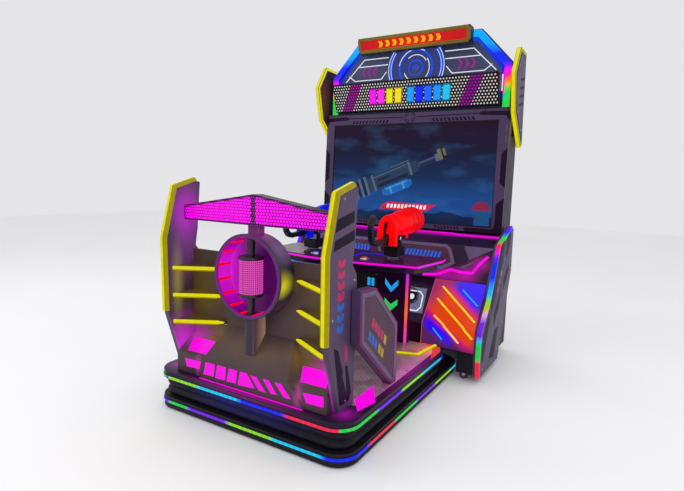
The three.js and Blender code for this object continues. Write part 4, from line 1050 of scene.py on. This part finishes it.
def build_sign(root):
    dress("sign", "black", 3.0)
    lean, height = SIGN.lean, SIGN.length
    face = panel(-477, 0, 477, height)
    reds = [(0.0, (0.55, 0.005, 0.01)), (0.5, (0.75, 0.01, 0.008)), (1.0, (0.55, 0.005, 0.01))]
    red = faded_lamp("sign_face", 0, -0.47, 0.47, reds, 0.9)
    prism("sign_face", "z", [offset(face, 22)], 0.2, 3.0, red, root, place=lean, bevel=1)
    bar, cut = 13, 12
    loop = rounded(-477 + bar, 477 - bar, bar, height - bar, cut)
    sweep("sign_frame", [[(x, y, 4) for x, y in loop]], rounded(-bar, bar, -4, 7, 3), "gold", root,
          closed=True, place=lean)
    starts = [-290 + 62 * i for i in range(9)]
    shapes = [[(x, 37), (x + 30, 37), (x + 42, 60), (x + 30, 84), (x, 84), (x + 12, 60)] for x in starts]
    prism("sign_arrows", "z", shapes, 2.8, 5.0, lamp("sign_yellow", (0.85, 0.42, 0.0), 1.0), root, place=lean,
          bevel=0.6)


EAR_RUN = [(1085, 1611), (833, 1845), (768, 2118), (893, 2310)]
EAR_BACK = [(1075, 2303), (1128, 1640)]


def build_ears(root):
    for side, flip in SIDES:
        dress(f"ear_{side}", "ear", 2.0)
        run = [(830, y, z) for y, z in EAR_RUN + [(1072, 2304)]]
        strip = [(-1.5, -12), (2, -16.5), (22, -16.5), (22, 16.5), (2, 16.5), (-1.5, 12)]
        # The strip's side facets take the painted-shade copy of the yellow light.
        sweep(f"ear_light_{side}", [run], strip, "yellow", root, up=(1, 0, 0), mirror=flip,
              second="yellow_painted_shade", sides=(0, 3, 4))
        outline = offset(EAR_RUN + EAR_BACK, -46)
        prism(f"ear_inset_{side}", "x", [outline], 844.8, 846.6, "slate", root, mirror=flip, bevel=0.8)
        slots = [[(940, z), (1070, z + 30), (1070, z + 48), (940, z + 18)] for z in (1900, 1960, 2020, 2080)]
        prism(f"ear_slots_{side}", "x", slots, 846.4, 847.4, "decal", root, mirror=flip)
        spots = [(847, y, z) for y, z in ((1040, 2230), (1060, 1740), (880, 2180), (905, 1860))]
        screws(f"ear_screws_{side}", spots, "x", 1, root, 6, flip)


# ---- motion base --------------------------------------------------------------------------------

BASE_HALF, BASE_REAR, BASE_CORNER = 650, -1116, 120
TRAY_FRONT, DECK_FRONT = 508, 218
FLOOR_TOP = 228


def base_path(inset, front, z, steps=8):
    """Rounded rectangle round the base, from the rear edge's left end, anticlockwise seen from above."""
    half, rear, r = BASE_HALF - inset, BASE_REAR + inset, BASE_CORNER - inset
    front -= inset
    centres = [((half - r, rear + r), -90), ((half - r, front - r), 0), ((-half + r, front - r), 90),
               ((-half + r, rear + r), 180)]
    points = []
    for (cx, cy), start in centres:
        for i in range(steps + 1):
            t = math.radians(start + 90 * i / steps)
            points.append((cx + r * math.cos(t), cy + r * math.sin(t), z))
    return [(-half + r, rear, z), *points[:-1]]


def build_base():
    cabinet, gimbal, platform = BODY["tray"], BODY["gimbal_cross"], BODY["deck"]
    dress("tray", "powder", 2.0)
    dress("deck", "deck", 3.0)
    strip = [(-1, -7.5), (1.6, -7.5), (3.2, -4), (3.2, 4), (1.6, 7.5), (-1, 7.5)]
    sweep("tray_light", [base_path(0, TRAY_FRONT, 45)], strip, chasing_lamp("tray_rainbow", 0.0), cabinet,
          closed=True)
    sweep("deck_light", [base_path(0, DECK_FRONT, 189.5)], strip, chasing_lamp("deck_rainbow", 0.52),
          platform, closed=True)
    lips = [base_path(4, TRAY_FRONT, 68), base_path(4, TRAY_FRONT, 14)]
    sweep("tray_lips", lips, rounded(-2, 2.2, -3, 3, 1), "black", cabinet, closed=True)
    sweep("deck_lip", [base_path(4, DECK_FRONT, 221)], rounded(-2, 2.2, -4, 4, 1.5), "black", platform,
          closed=True)
    build_bellows(cabinet, gimbal, platform)
    build_floor(platform)
    build_drives()


LOBE_DEPTH, RIPPLE_DEPTH, SKIRT_THICK, PIVOT_Y = 18.5, 0.8, 3.5, -449


def build_bellows(cabinet, gimbal, platform):
    """Rubber skirt in two lobes that meet on a rib, which rides on the gimbal."""
    low, mid, high = 73.5, 124.0, 174.5
    path = base_path(42, DECK_FRONT, 0, 12)
    for name, z0, z1, a, b in (("lower", low, mid, cabinet, gimbal), ("upper", mid, high, gimbal, platform)):
        outer = []
        for t in (i / 12 for i in range(13)):
            bulge = LOBE_DEPTH * math.sin(math.pi * t) ** 0.8 + RIPPLE_DEPTH * math.sin(9 * math.pi * t)
            outer.append((bulge, z0 + (z1 - z0) * t))
        profile = outer + [(u - SKIRT_THICK, z) for u, z in reversed(outer)]
        skirt = sweep(f"bellows_{name}", [path], profile, "rubber", None, closed=True, sharp=80,
                      replaced=("bellows",) if name == "lower" else ())
        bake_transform(skirt)
    rib = sweep("bellows_rib", [base_path(42, DECK_FRONT, mid, 12)], circle(4.5, 10), "rubber", None,
                closed=True, sharp=80)
    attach(rib, gimbal)


def build_floor(platform):
    plate = [(-606, 190), (-606, -840), (-560, -900), (560, -900), (606, -840), (606, 190), (570, 200),
             (-570, 200)]
    prism("tread_floor", "z", [plate], 225.8, FLOOR_TOP, "tread", platform, bevel=0.8)
    # Painted light: an orange glow fading to magenta on the floor's front corners, drawn as thin glowing
    # plates.
    sheen = [(0.0, (0.85, 0.07, 0.004)), (0.6, (0.80, 0.05, 0.01)), (1.0, (0.40, 0.01, 0.10))]
    corner = [[(452, 208), (560, 208), (562, 160)], [(560, 208), (612, 180), (600, 60), (562, 160)],
              [(612, 180), (636, 110), (640, -84), (600, 60)]]
    for side, flip in SIDES:
        lit = faded_lamp(f"floor_corner_painted_glow_{side}", 1, 0.2, -0.1, sheen, 0.8)
        prism(f"floor_corner_painted_glow_{side}", "z", corner, 226.2, 229.0, lit, platform, mirror=flip)
        bar = [[(x, y, FLOOR_TOP + 1) for x, y in ((412, -82), (540, -40), (568, 200))]]
        # The bar's side facets take the painted-shade copy of the yellow light.
        sweep(f"floor_light_{side}", bar, [(-13, -2), (13, -2), (13, 6), (6, 11), (-6, 11), (-13, 6)],
              "yellow", platform, mirror=flip, second="yellow_painted_shade", sides=(1, 5))
        window = [(530, -840), (607, -945), (632, -805), (528, -622)]
        prism(f"floor_window_{side}", "z", [window], 226.2, 229.4, "magenta", platform, mirror=flip,
              bevel=0.6)
        spots = [(x, y, FLOOR_TOP) for x, y in ((590, -800), (590, -560), (590, -320), (300, -880))]
        screws(f"floor_screws_{side}", spots, "z", 1, platform, 6, flip)


def build_drives():
    for node in ("pivot_post", "gimbal_cross", "pitch_crank", "roll_crank", "pitch_rod", "roll_rod"):
        dress(node, "steel", 1.0)
    for node in ("pitch_motor", "roll_motor"):
        dress(node, "motor", 2.0)


# ---- backrest -----------------------------------------------------------------------------------

UPRIGHT_RUN = [(-921, 1327), (-1076, 1282), (-1152, 997), (-1145, 586)]


def build_backrest():
    platform = BODY["deck"]
    dress("back_wall", "slate_warm", 2.0)
    dress("trunk", "slate_warm", 2.5)
    for side, flip in SIDES:
        dress(f"upright_{side}", "upright", 2.5)
        run = [(527, y, z) for y, z in UPRIGHT_RUN]
        section = [(0, -22), (9, -22), (22, -9), (22, 9), (9, 22), (0, 22), (-1, 12), (-1, -12)]
        light = [(a - 22, b) for a, b in section]
        # The strip's side and chamfer facets take the painted-shade copy of the yellow light.
        sweep(f"upright_light_{side}.look", [run], light, "yellow", platform, up=(1, 0, 0), mirror=flip,
              replaced=(f"upright_light_{side}",), second="yellow_painted_shade", sides=(0, 1, 3, 4))
        build_upright_print(side, flip, platform)
        build_fins(side, flip, platform)
        build_shield(side, flip, platform)
    build_crossbar(platform)
    build_ring(platform)
    build_trunk_windows(platform)


def build_upright_print(side, flip, platform):
    face = (544.6, 545.7)
    dark = [[(-1071, 1158), (-921, 1192), (-918, 1140), (-1086, 1100)],
            [(-1086, 1064), (-914, 1103), (-913, 1054), (-1099, 1015)],
            [(-1076, 566), (-1036, 544), (-990, 430), (-992, 405), (-930, 262), (-1010, 262)],
            [(-968, 452), (-947, 446), (-905, 300), (-925, 262), (-940, 262)]]
    prism(f"upright_shapes_{side}", "x", dark, *face, "decal", platform, mirror=flip)
    accent = [[(-980, 565), (-956, 540), (-952, 467), (-979, 472)]]
    prism(f"upright_accent_{side}", "x", accent, face[0], face[1] + 0.5, "pink_print", platform, mirror=flip)
    for i in range(7):
        top = 974 - 51 * i
        bar = [[(-1057, top), (-1040, top), (-1026, top - 16), (-1012, top), (-995, top), (-995, top - 30),
                (-1026, top - 44), (-1057, top - 30)]]
        print_name = "pink_print" if i < 4 else "blue_print"
        prism(f"upright_mark_{i}_{side}", "x", bar, face[0], face[1] + 0.3, print_name, platform, mirror=flip)
    spots = [(545.2, y, z) for y, z in ((-1010, 1250), (-900, 860), (-1090, 700), (-960, 270))]
    screws(f"upright_screws_{side}", spots, "x", 1, platform, 6, flip)


def build_fins(side, flip, platform):
    """Three slats between the wall and the upright, lit along a ridge on the front edge and beneath."""
    for i, z in enumerate((825, 672, 521)):
        tip, end = Vector((251, -955)), Vector((503, -1099))
        along = (end - tip).normalized()
        inward = Vector((-along.y, along.x)) * 14
        under = [tuple(tip + inward), tuple(end + inward), (503, -944), (251, -944)]
        prism(f"fin_glow_{i}_{side}", "z", [under], z - 12, z - 10.2, "yellow_deep", platform, mirror=flip)
        place = Matrix(((along.x, -along.y, 0, tip.x), (along.y, along.x, 0, tip.y), (0, 0, 1, z),
                        (0, 0, 0, 1)))
        far = (end - tip).length - 2
        ridge = [(3, -2), (42, -5), (far, -5), (far, 12), (38, 12), (3, 5)]
        prism(f"fin_{i}_{side}", "y", [ridge], -10, 4, "yellow", platform, place=place, mirror=flip, bevel=3)
        # Painted shade: the fin's lower facet, a darker copy of the yellow light.
        below = [(14, -4.5), (42, -6), (far, -6), (far, -12), (46, -12)]
        prism(f"fin_foot_{i}_{side}", "y", [below], -6, 4, "yellow_painted_shade", platform, place=place, mirror=flip,
              bevel=1)


SHIELD = [(-935, 818), (-777, 809), (-507, 570), (-499, 228), (-560, 228), (-929, 553)]


def build_shield(side, flip, platform):
    dress(f"shield_{side}", "slate", 2.5)
    line = [(600.4, y, z) for y, z in offset(SHIELD, -5)]
    sweep(f"shield_line_{side}", [line], rounded(-1.2, 1.6, -2.5, 2.5, 0.8), "shield_line", platform,
          up=(1, 0, 0), closed=True, mirror=flip)
    prism(f"shield_rim_{side}", "x", band(offset(SHIELD, -12)[::-1], 24), 599.6, 603.4, "slate_light",
          platform, mirror=flip, bevel=1)
    prism(f"shield_inset_{side}", "x", [offset(SHIELD, -37)], 599.6, 601.2, "maroon", platform, mirror=flip,
          bevel=0.6)
    down = Vector((0.755, -0.655))
    rise = Vector((-6, -48))
    rows = (("pink_print", (-806, 664), 4), ("gold_print", (-666, 543), 1), ("blue_print", (-838, 604), 3),
            ("gold_print", (-728, 509), 2))
    for color, start, count in rows:
        bars = []
        for i in range(count):
            p = Vector(start) + down * (44 * i)
            bars.append([tuple(p), tuple(p + down * 36), tuple(p + down * 30 + rise),
                         tuple(p + down * -6 + rise)])
        prism(f"shield_{color}_{count}_{side}", "x", bars, 600.8, 601.9, color, platform, mirror=flip)


def build_crossbar(platform):
    dress("crossbar", "black", 1.5)
    half = 503
    left = [(-half + 8, 1100), (-14, 1098), (-14, 1236), (-half + 8, 1162)]
    right = mirrored(left)
    glow = lit_mesh("crossbar_mesh", (0.05, 0.0, 0.045), (1.0, 0.0, 0.82), 0.0180, 0.0069, strength=1.15,
                    metal=0.0)
    back = lit_mesh("crossbar_trim", (0.012, 0.004, 0.018), (0.24, 0.03, 0.26), 0.015, 0.0045, strength=0.8)
    prism("crossbar_face", "y", [left, right], -1008.4, -1005.4, glow, platform, bevel=0.8)
    prism("crossbar_front", "y", [left, right], -932.4, -929.6, glow, platform, bevel=0.8)
    outline = [(-half, 1092), (0, 1090), (half, 1092), (half, 1172), (0, 1250), (-half, 1172)]
    rim = band(outline, 9) + [panel(-14, 1094, 14, 1246)]
    prism("crossbar_rim", "y", rim, -1010.4, -1005.6, back, platform, bevel=1)


RING_Z, DRUM_Y = 830, -1022
STREAKS, STREAK_START, STREAK_RADIUS, STREAK_LIFT = 16, 56, 203.4, -3.4


def ring_material():
    """Magenta light on one side of the ring's inner wall, fading across it."""
    g = Graph("ring_wall")
    stops = [(0.0, (0.62, 0.01, 0.60)), (0.12, (0.45, 0.0, 0.44)), (0.24, (0.20, 0.0, 0.22)),
             (0.45, (0.07, 0.0, 0.09)), (1.0, (0.04, 0.0, 0.06))]
    color = g.ramp(g.span(g.split()[0], -0.21, 0.21), stops)
    g.set(Base_Color=g.mix(0.8, color, (0, 0, 0)), Emission_Color=color, Roughness=0.35,
          Specular_IOR_Level=0.3)
    g.set(Emission_Strength=g.vary(12, 3, 0.5, 0.6), Normal=g.bump(g.noise(200, 2), 0.1, 0.0005))
    return g.material


def build_ring(platform):
    dress("ring_housing", "housing", 1.5)
    liner = [(205.6, -1057), (204.2, -1056), (204.2, -958), (196, -953.6), (100, -953.6), (0, -953.6)]
    lip = [(203, -1056), (203, -1061), (206, -1064), (218, -1064), (221.5, -1060), (221.5, -1052)]
    edge = [(202.4, -1052), (202.4, -1062), (205, -1065), (210, -1065.4), (211, -1063)]
    looks = (("liner", liner, ring_material()), ("lip", lip, "slate"), ("edge", edge, "ring_edge"))
    for name, profile, look in looks:
        lathe(f"ring_{name}", [profile], look, platform, "y", (0, 0, RING_Z), 72)
    bars, turns = [], [math.radians(STREAK_START + 360 / STREAKS * i) for i in range(STREAKS)]
    streak = ((-8, -1052), (8, -1052), (6, -960), (-6, -960))
    for t in turns:
        out, side = Vector((math.cos(t), 0, math.sin(t))), Vector((-math.sin(t), 0, math.cos(t)))
        bars.append([out * STREAK_RADIUS + side * w + Vector((0, y, RING_Z)) for w, y in streak])
    bm = bmesh.new()
    for t, bar in zip(turns, bars):
        lift = Vector((math.cos(t), 0, math.sin(t))) * STREAK_LIFT
        low, high = [bm.verts.new(p) for p in bar], [bm.verts.new(p + lift) for p in bar]
        for ring in (low, high, *((low[k], low[(k + 1) % 4], high[(k + 1) % 4], high[k]) for k in range(4))):
            bm.faces.new(ring)
    finish_piece("ring_streaks", bm, "red", platform, bevel=0.8)
    build_drum(platform)


DRUM_RADIUS, DRUM_CELL, DRUM_HOLE = 62, 0.011, 0.34


def drum_material():
    """Lit drum under a square mesh."""
    g = Graph("drum_mesh")
    x, y, z = g.split()
    around = g.math("ARCTAN2", x, g.math("ADD", y, -DRUM_Y * MM))
    u = g.math("ABSOLUTE", centred(g, around, DRUM_RADIUS * MM / DRUM_CELL))
    v = g.math("ABSOLUTE", centred(g, z, 1 / DRUM_CELL))
    hole = g.math("LESS_THAN", g.math("MAXIMUM", u, v), DRUM_HOLE)
    g.set(Base_Color=g.mix(hole, (0.06, 0.0, 0.04), (0.10, 0.0, 0.06)), Roughness=0.35,
          Specular_IOR_Level=0.2)
    g.set(Emission_Color=g.mix(hole, (0.78, 0.10, 0.52), (0.28, 0.0, 0.17)),
          Normal=g.bump(hole, -0.6, 0.0015), Emission_Strength=g.math("MULTIPLY_ADD", hole, -0.1, 0.9))
    return g.material


def build_drum(platform):
    centre, r = (0, DRUM_Y, RING_Z), DRUM_RADIUS
    drum = [(0, -88), (r - 1, -88), (r, -86), (r, 86), (r - 1, 88), (0, 88)]
    lathe("ring_drum.look", [drum], drum_material(), platform, "z", centre, 48, replaced=("ring_drum",))
    caps = [[(0, s * 88), (63, s * 88), (66, s * 91), (66, s * 101), (63, s * 104.5), (0, s * 104.5)]
            for s in (1, -1)]
    lathe("drum_caps", caps, "rod", platform, "z", centre, 48)
    rods = [[(20, s * 104), (20, s * 190), (24, s * 193), (24, s * 203)] for s in (1, -1)]
    lathe("drum_rod", rods, "rod", platform, "z", centre, 28)


def build_trunk_windows(platform):
    front = [[(-287, 255), (-211, 258), (-202, 329), (-271, 327)],
             [(-198, 254), (-127, 257), (-121, 330), (-183, 329)],
             [(-116, 255), (-51, 258), (-41, 330), (-98, 330)],
             [(-36, 254), (79, 262), (25, 331), (-21, 330)], [(109, 258), (152, 258), (89, 326), (50, 326)],
             [(185, 262), (222, 264), (170, 327), (132, 327)],
             [(268, 262), (309, 264), (249, 327), (208, 327)]]
    prism("trunk_windows", "y", front, -1083.4, -1081.6, "magenta", platform, bevel=0.5)
    slope = Slope(-1070, 335, -942, 425).lean
    top = [[(342, 26), (491, 28), (468, 116), (305, 114)], [(-446, 27), (-301, 29), (-306, 122), (-474, 118)]]
    prism("trunk_top_windows", "z", top, -0.6, 1.4, "magenta", platform, place=slope, bevel=0.5)
    low = [[(392, 262), (492, 266), (492, 318), (373, 310)], [(-431, 264), (-332, 270), (-319, 314),
                                                              (-446, 311)]]
    prism("trunk_low_windows", "y", low, -1071.6, -1069.6, "magenta", platform, bevel=0.5)
    line = [[(-312, -1088, 228), (383, -1088, 228)]]
    sweep("trunk_foot_line", line, rounded(-2, 2, -1, 4, 1), "magenta", platform)


# ---- gun table ----------------------------------------------------------------------------------

BUTTON = (190, -150, 0)


def table_outline(inset):
    half = [(150, -272 + inset), (572 - inset, -187 + inset), (613 - inset, 137), (600 - inset, 213 - inset)]
    return half + mirrored(half)


def build_table():
    platform = BODY["gun_table"]
    dress("gun_table", "gloss", 3.0, 3)
    edge = [(x, y, 822) for x, y in table_outline(0)]
    sweep("table_light", [edge], rounded(-1, 2.6, -6.5, 6.5, 1.5), "magenta", platform, closed=True)
    blue = [[(76, -141, 836), (71, 40, 836), (300, 120, 836)]]
    for side, flip in SIDES:
        sweep(f"table_line_{side}", blue, rounded(-4, 4, -1, 1.8, 1), "blue", platform, mirror=flip)
        ring = [(21, 834), (21.6, 838.2), (24, 839.2), (30, 838.4), (33, 835.6), (33, 834.2)]
        lathe(f"button_ring_{side}", [ring], "chrome", platform, "z", BUTTON, 40, mirror=flip)
        lens = lamp(f"button_lens_{side}", (0.02, 0.12, 0.9) if flip else (0.9, 0.05, 0.02), 0.9)
        cap = [(0, 817.4), (18, 817.4), (19.8, 819), (19.8, 841), (17.5, 843.4), (8, 844), (0, 844)]
        lathe(f"start_button_{side}.look", [cap], lens, BODY[f"start_button_{side}"], "z", BUTTON, 40,
              mirror=flip, replaced=(f"start_button_{side}",))
    dress("table_column", "gloss", 2.5)
    strips = [(0.0, (0.75, 0.03, 0.45)), (0.28, (0.8, 0.06, 0.08)), (0.40, (0.95, 0.14, 0.01)),
              (0.55, (0.9, 0.08, 0.02)), (0.72, (0.65, 0.03, 0.25)), (0.85, (0.5, 0.02, 0.6)),
              (1.0, (0.18, 0.01, 0.30))]
    strip = faded_lamp("column_strip", 2, 0.228, 0.76, strips, 1.1)
    for side, flip in SIDES:
        prism(f"column_light_{side}", "y", [panel(364, 229, 381.8, 768)], 125.6, 136, strip, platform,
              mirror=flip, bevel=1.5)
        chevron = [(209, 627), (256, 572), (308, 627), (308, 665), (256, 612), (209, 665)]
        prism(f"column_arrow_{side}", "y", [chevron], 126.0, 128.2, "cyan", platform, mirror=flip, bevel=0.5)
        low = [(209, 490), (256, 440), (308, 490), (308, 528), (256, 486), (209, 528)]
        prism(f"column_arrow_low_{side}", "y", [low], 126.0, 128.2, "green", platform, mirror=flip, bevel=0.5)
    build_coin_door()


def build_coin_door():
    body = BODY["coin_door"]
    dress("coin_door", "powder", 1.2)
    for side, x in (("left", -105), ("right", 105)):
        halves = [panel(x - 27, 602, x - 4, 658), panel(x + 4, 602, x + 27, 658)]
        prism(f"coin_entry_{side}", "y", halves, 112.4, 113.8, "cyan", body, bevel=0.6)
    prism("coin_cup_trim", "y", band(panel(-74, 326, 74, 404), 9), 104.4, 106.6, "chrome", body, bevel=0.8)
    lathe("coin_lock", [[(0, 117.6), (4, 117.6), (4, 115.5), (10, 115.5), (12, 117), (12, 121.8)]], "chrome",
          body, "y", (120, 0, 500), 28)
    screws("coin_screws", [(x, 121.4, z) for x in (-140, 140) for z in (318, 682)], "y", -1, body, 5)


# ---- guns ---------------------------------------------------------------------------------------

GUN_X, GUN_Y, GUN_Z, GUN_LIFT = 319, 5, 965, math.radians(4)
BARREL_AXIS = (0, 0, 85)


def build_guns():
    """The guns and triggers. Their outlines are about the pitch axis, with the barrel level along Y."""
    looks = {
        "right": (gun_shell("gun_red", (1.0, 0.0, 0.0), (0.78, 0.0, 0.0)), "red"),
        "left": (gun_shell("gun_blue", (0.0, 0.004, 0.80), (0.0, 0.002, 0.40)), "blue"),
    }
    place = Matrix.Translation((GUN_X, GUN_Y, GUN_Z)) @ Matrix.Rotation(GUN_LIFT, 4, "X")
    for side, flip in SIDES:
        shell, light = looks[side]
        body = BODY[f"gun_{side}"]
        on = {"place": place, "mirror": flip}
        shroud = [(0, -58), (46, -60), (60, -46), (69.5, -10), (77, 40), (80, 60), (86.5, 140), (90, 220),
                  (90.3, 262), (89, 290), (84, 309), (76, 322), (66, 323.5), (56, 322), (54, 318), (54, 280),
                  (0, 280)]
        lathe(f"gun_{side}.look", [shroud], shell, body, "y", BARREL_AXIS, 56, **on,
              replaced=(f"gun_{side}",), sharp=50)
        build_cowl(side, shell, body, on)
        build_handle(side, body, on, light)
        barrel = [[(30, 262), (30, 306), (27, 312), (20, 312), (18, 300), (18, 270)],
                  [(46, 276), (46, 284), (33, 288), (30, 286)]]
        lathe(f"gun_barrel_{side}", barrel, "black", body, "y", BARREL_AXIS, 36, **on)
        rings = [[(r - 1, y0), (r + 1.6, y0 + 1.5), (r + 1.8, y0 + 5), (r - 1, y0 + 7)]
                 for r, y0 in ((86, 130), (89.3, 196), (90.2, 252))]
        lathe(f"gun_bands_{side}", rings, "black", body, "y", BARREL_AXIS, 56, **on)
        cradle = [(-40, -20), (110, -20), (118, -8), (118, 40), (-40, 40), (-46, 20)]
        prism(f"gun_cradle_{side}", "x", [cradle], -33.6, 33.6, "black", body, **on, bevel=4, segments=3)
        ribs = [[(20 + 22 * i, -23), (32 + 22 * i, -23), (46 + 22 * i, 22), (30 + 22 * i, 22)]
                for i in range(7)]
        prism(f"gun_ribs_{side}", "x", ribs, -27, 27, light, body, **on, bevel=2)
        trunnion = [(0, -48), (9.2, -48), (10, -47), (10, 47), (9.2, 48), (0, 48)]
        lathe(f"gun_trunnion_{side}", [trunnion], "chrome", body, "x", (0, 0, 0), 32, **on)
        build_yoke(side, flip)
        blade = [(-315, 136), (-307, 137), (-298, 126), (-292, 116), (-288, 100), (-294, 88), (-299, 89),
                 (-297, 100), (-302, 114), (-312, 129)]
        prism(f"trigger_{side}.look", "x", [blade], -4.8, 4.8, "chrome", BODY[f"trigger_{side}"], **on,
              bevel=1.5, segments=3, replaced=(f"trigger_{side}",))


def build_cowl(side, shell, body, on):
    """Upside-down U behind the shroud, lofted so that its legs rake forward and thin towards their feet."""
    half = [(70, -30), (71, 30), (70, 66), (66, 96), (56, 122), (38, 146), (18, 158), (0, 161)]
    inner = [(0, 120), (10, 116), (17, 106), (20, 92), (20.5, 66), (20, 30), (20, 0), (20, -30)]
    outline = half + [(-x, z) for x, z in reversed(half[:-1])]
    hole = [(-x, z) for x, z in reversed(inner[1:])] + inner
    bm = bmesh.new()

    def depth(z, part):
        """Y at a height: of the rear face at part 0, of the front face at part 1."""
        t = (z + 30) / 191
        rear, front = -124 + 26 * t, -88 + 40 * t + 70 * max(0.0, t - 0.45)
        return rear + (front - rear) * part

    outer_rings, inner_rings = [], []
    for k in range(5):
        swell = 1 - 0.035 * abs(k - 2) ** 1.6
        outer_rings.append([bm.verts.new((x * swell, depth(z, k / 4), z)) for x, z in outline])
        inner_rings.append([bm.verts.new((x, depth(z, k / 4), z)) for x, z in hole])
    for inside, rings in enumerate((outer_rings, inner_rings)):
        for a, b in zip(rings[:-1], rings[1:]):
            for i in range(len(a) - 1):
                bm.faces.new((a[i], a[i + 1], b[i + 1], b[i])).material_index = inside
    for end in (0, 4):
        o, n = outer_rings[end], inner_rings[end][::-1]
        for i in range(len(o) - 1):
            j = min(i, len(n) - 2)
            bm.faces.new((o[i], o[i + 1], n[j + 1], n[j]))
    for i, j in ((0, -1), (-1, 0)):
        for k in range(4):
            bm.faces.new((outer_rings[k][i], outer_rings[k + 1][i], inner_rings[k + 1][j], inner_rings[k][j]))
    finish_piece(f"gun_cowl_{side}", bm, shell, body, **on, bevel=4, segments=3, sharp=40, second="inner")


def build_handle(side, body, on, light):
    """Bar from the shroud back and up. It is notched in the middle, where the trigger hangs on its pin."""
    spine = [(0, -100, 8), (0, -190, 6), (0, -262, 6), (0, -296, 18), (0, -314, 44), (0, -323, 78),
             (0, -322, 110), (0, -312, 140), (0, -294, 162), (0, -276, 170)]
    rounded_bar = [(-13, -17), (13, -17), (16, -13), (16, 13), (13, 17), (-13, 17), (-16, 13), (-16, -13)]
    smooth = []
    for a, b in zip(spine[:-1], spine[1:]):
        smooth += [tuple(Vector(a).lerp(Vector(b), t)) for t in (0.0, 0.5)]
    smooth.append(spine[-1])
    notched_bar = [(-13, -17), (13, -17), (16, -13), (16, -8), (-3, -8), (-3, 8), (16, 8), (16, 13), (13, 17),
                   (-13, 17), (-16, 13), (-16, -13)]
    notch_start, notch_end = 10, 15
    ends = [smooth[:notch_start + 1], smooth[notch_end:]]
    middle = [smooth[notch_start:notch_end + 1]]
    parts = (("gun_handle", ends, rounded_bar), ("gun_handle_notch", middle, notched_bar))
    for name, paths, profile in parts:
        sweep(f"{name}_{side}", paths, profile, "black", body, up=(1, 0, 0), **on, sharp=50, bevel=2)
    # Painted highlight: the gun's red glow (blue on the left gun) on the inner curve of the black handle,
    # drawn as a glowing strip.
    inside = [(0, -268, 24), (0, -288, 36), (0, -299, 60), (0, -304, 80)]
    sweep(f"gun_handle_light_{side}", [inside], rounded(-2.5, 2.5, -7, 7, 1), light, body, up=(1, 0, 0), **on)


def build_yoke(side, flip):
    dress(f"gun_yoke_{side}", "black", 3.0, 3)
    body = BODY[f"gun_yoke_{side}"]
    for end, s in (("in", -1), ("out", 1)):
        cap = [(0, s * 54), (6, s * 54), (8, s * 52.6), (14, s * 52.2), (16, s * 50)]
        lathe(f"yoke_cap_{end}_{side}", [cap], "chrome", body, "x", (GUN_X, GUN_Y, GUN_Z), 28, mirror=flip)
    collar = [(40, 835.6), (41, 838), (41, 842), (38, 845), (24, 846), (22, 850), (22, 852)]
    lathe(f"yoke_collar_{side}", [collar], "steel", body, "z", (GUN_X, GUN_Y, 0), 40, mirror=flip)


# ---- casters ------------------------------------------------------------------------------------

def build_casters():
    for side, flip in SIDES:
        dress(f"caster_fork_{side}", "steel", 0.8)
        for kind, axis, centre in (("front", "y", (742, 318, 32)), ("rear", "x", (760, 1060, 32))):
            node = f"{kind}_wheel_{side}"
            tread = [(22, -8), (26.5, -10), (29, -9), (30, -5), (30, 5), (29, 9), (26.5, 10), (22, 8)]
            hub = [(6, -9.6), (12, -9.6), (14, -6), (21, -5), (22.5, -8), (22.5, 8), (21, 5), (14, 6),
                   (12, 9.6), (6, 9.6), (6, -9.6)]
            lathe(node + ".look", [tread], "tyre", BODY[node], axis, centre, 44, mirror=flip,
                  replaced=(node,))
            lathe(node + ".hub", [hub], "slate_light", BODY[node], axis, centre, 36, mirror=flip)


def build_back():
    """Hinges, lock and vents on the cabinet's back."""
    body, root = BODY["rear_door"], BODY["cabinet_shell"]
    for i, z in enumerate((380, 700, 1020)):
        knuckle = [(0, z - 42), (5.5, z - 42), (6, z - 40), (6, z + 40), (5.5, z + 42), (0, z + 42)]
        lathe(f"hinge_knuckle_{i}", [knuckle], "steel", body, "z", (-312, 1152, 0), 24)
        prism(f"hinge_leaf_{i}", "y", [panel(-310, z - 40, -270, z + 40)], 1151.8, 1154.2, "steel", body,
              bevel=0.5)
    lathe("door_lock", [[(0, 1156.5), (3, 1156.5), (3, 1158), (11, 1158), (14, 1156), (14, 1151)]], "chrome",
          body, "y", (270, 0, 700), 32)
    slats = [panel(-190, z - 5, 190, z - 1) for z in range(400, 600, 40)]
    prism("door_louvres", "y", slats, 1151.6, 1156.5, "powder", body, bevel=0.6)
    edges = ((770, (180, 520, 900)), (750, (1200, 1800)))
    spots = [(x, 1133.4, z) for half, heights in edges for x in (-half, half) for z in heights]
    screws("back_screws", spots, "y", 1, root, 6)


make_camera()
make_studio()
build_display()
build_console()
build_lower_front()
build_wings()
build_header()
build_base()
build_backrest()
build_table()
build_guns()
build_casters()
build_back()
make_floor()
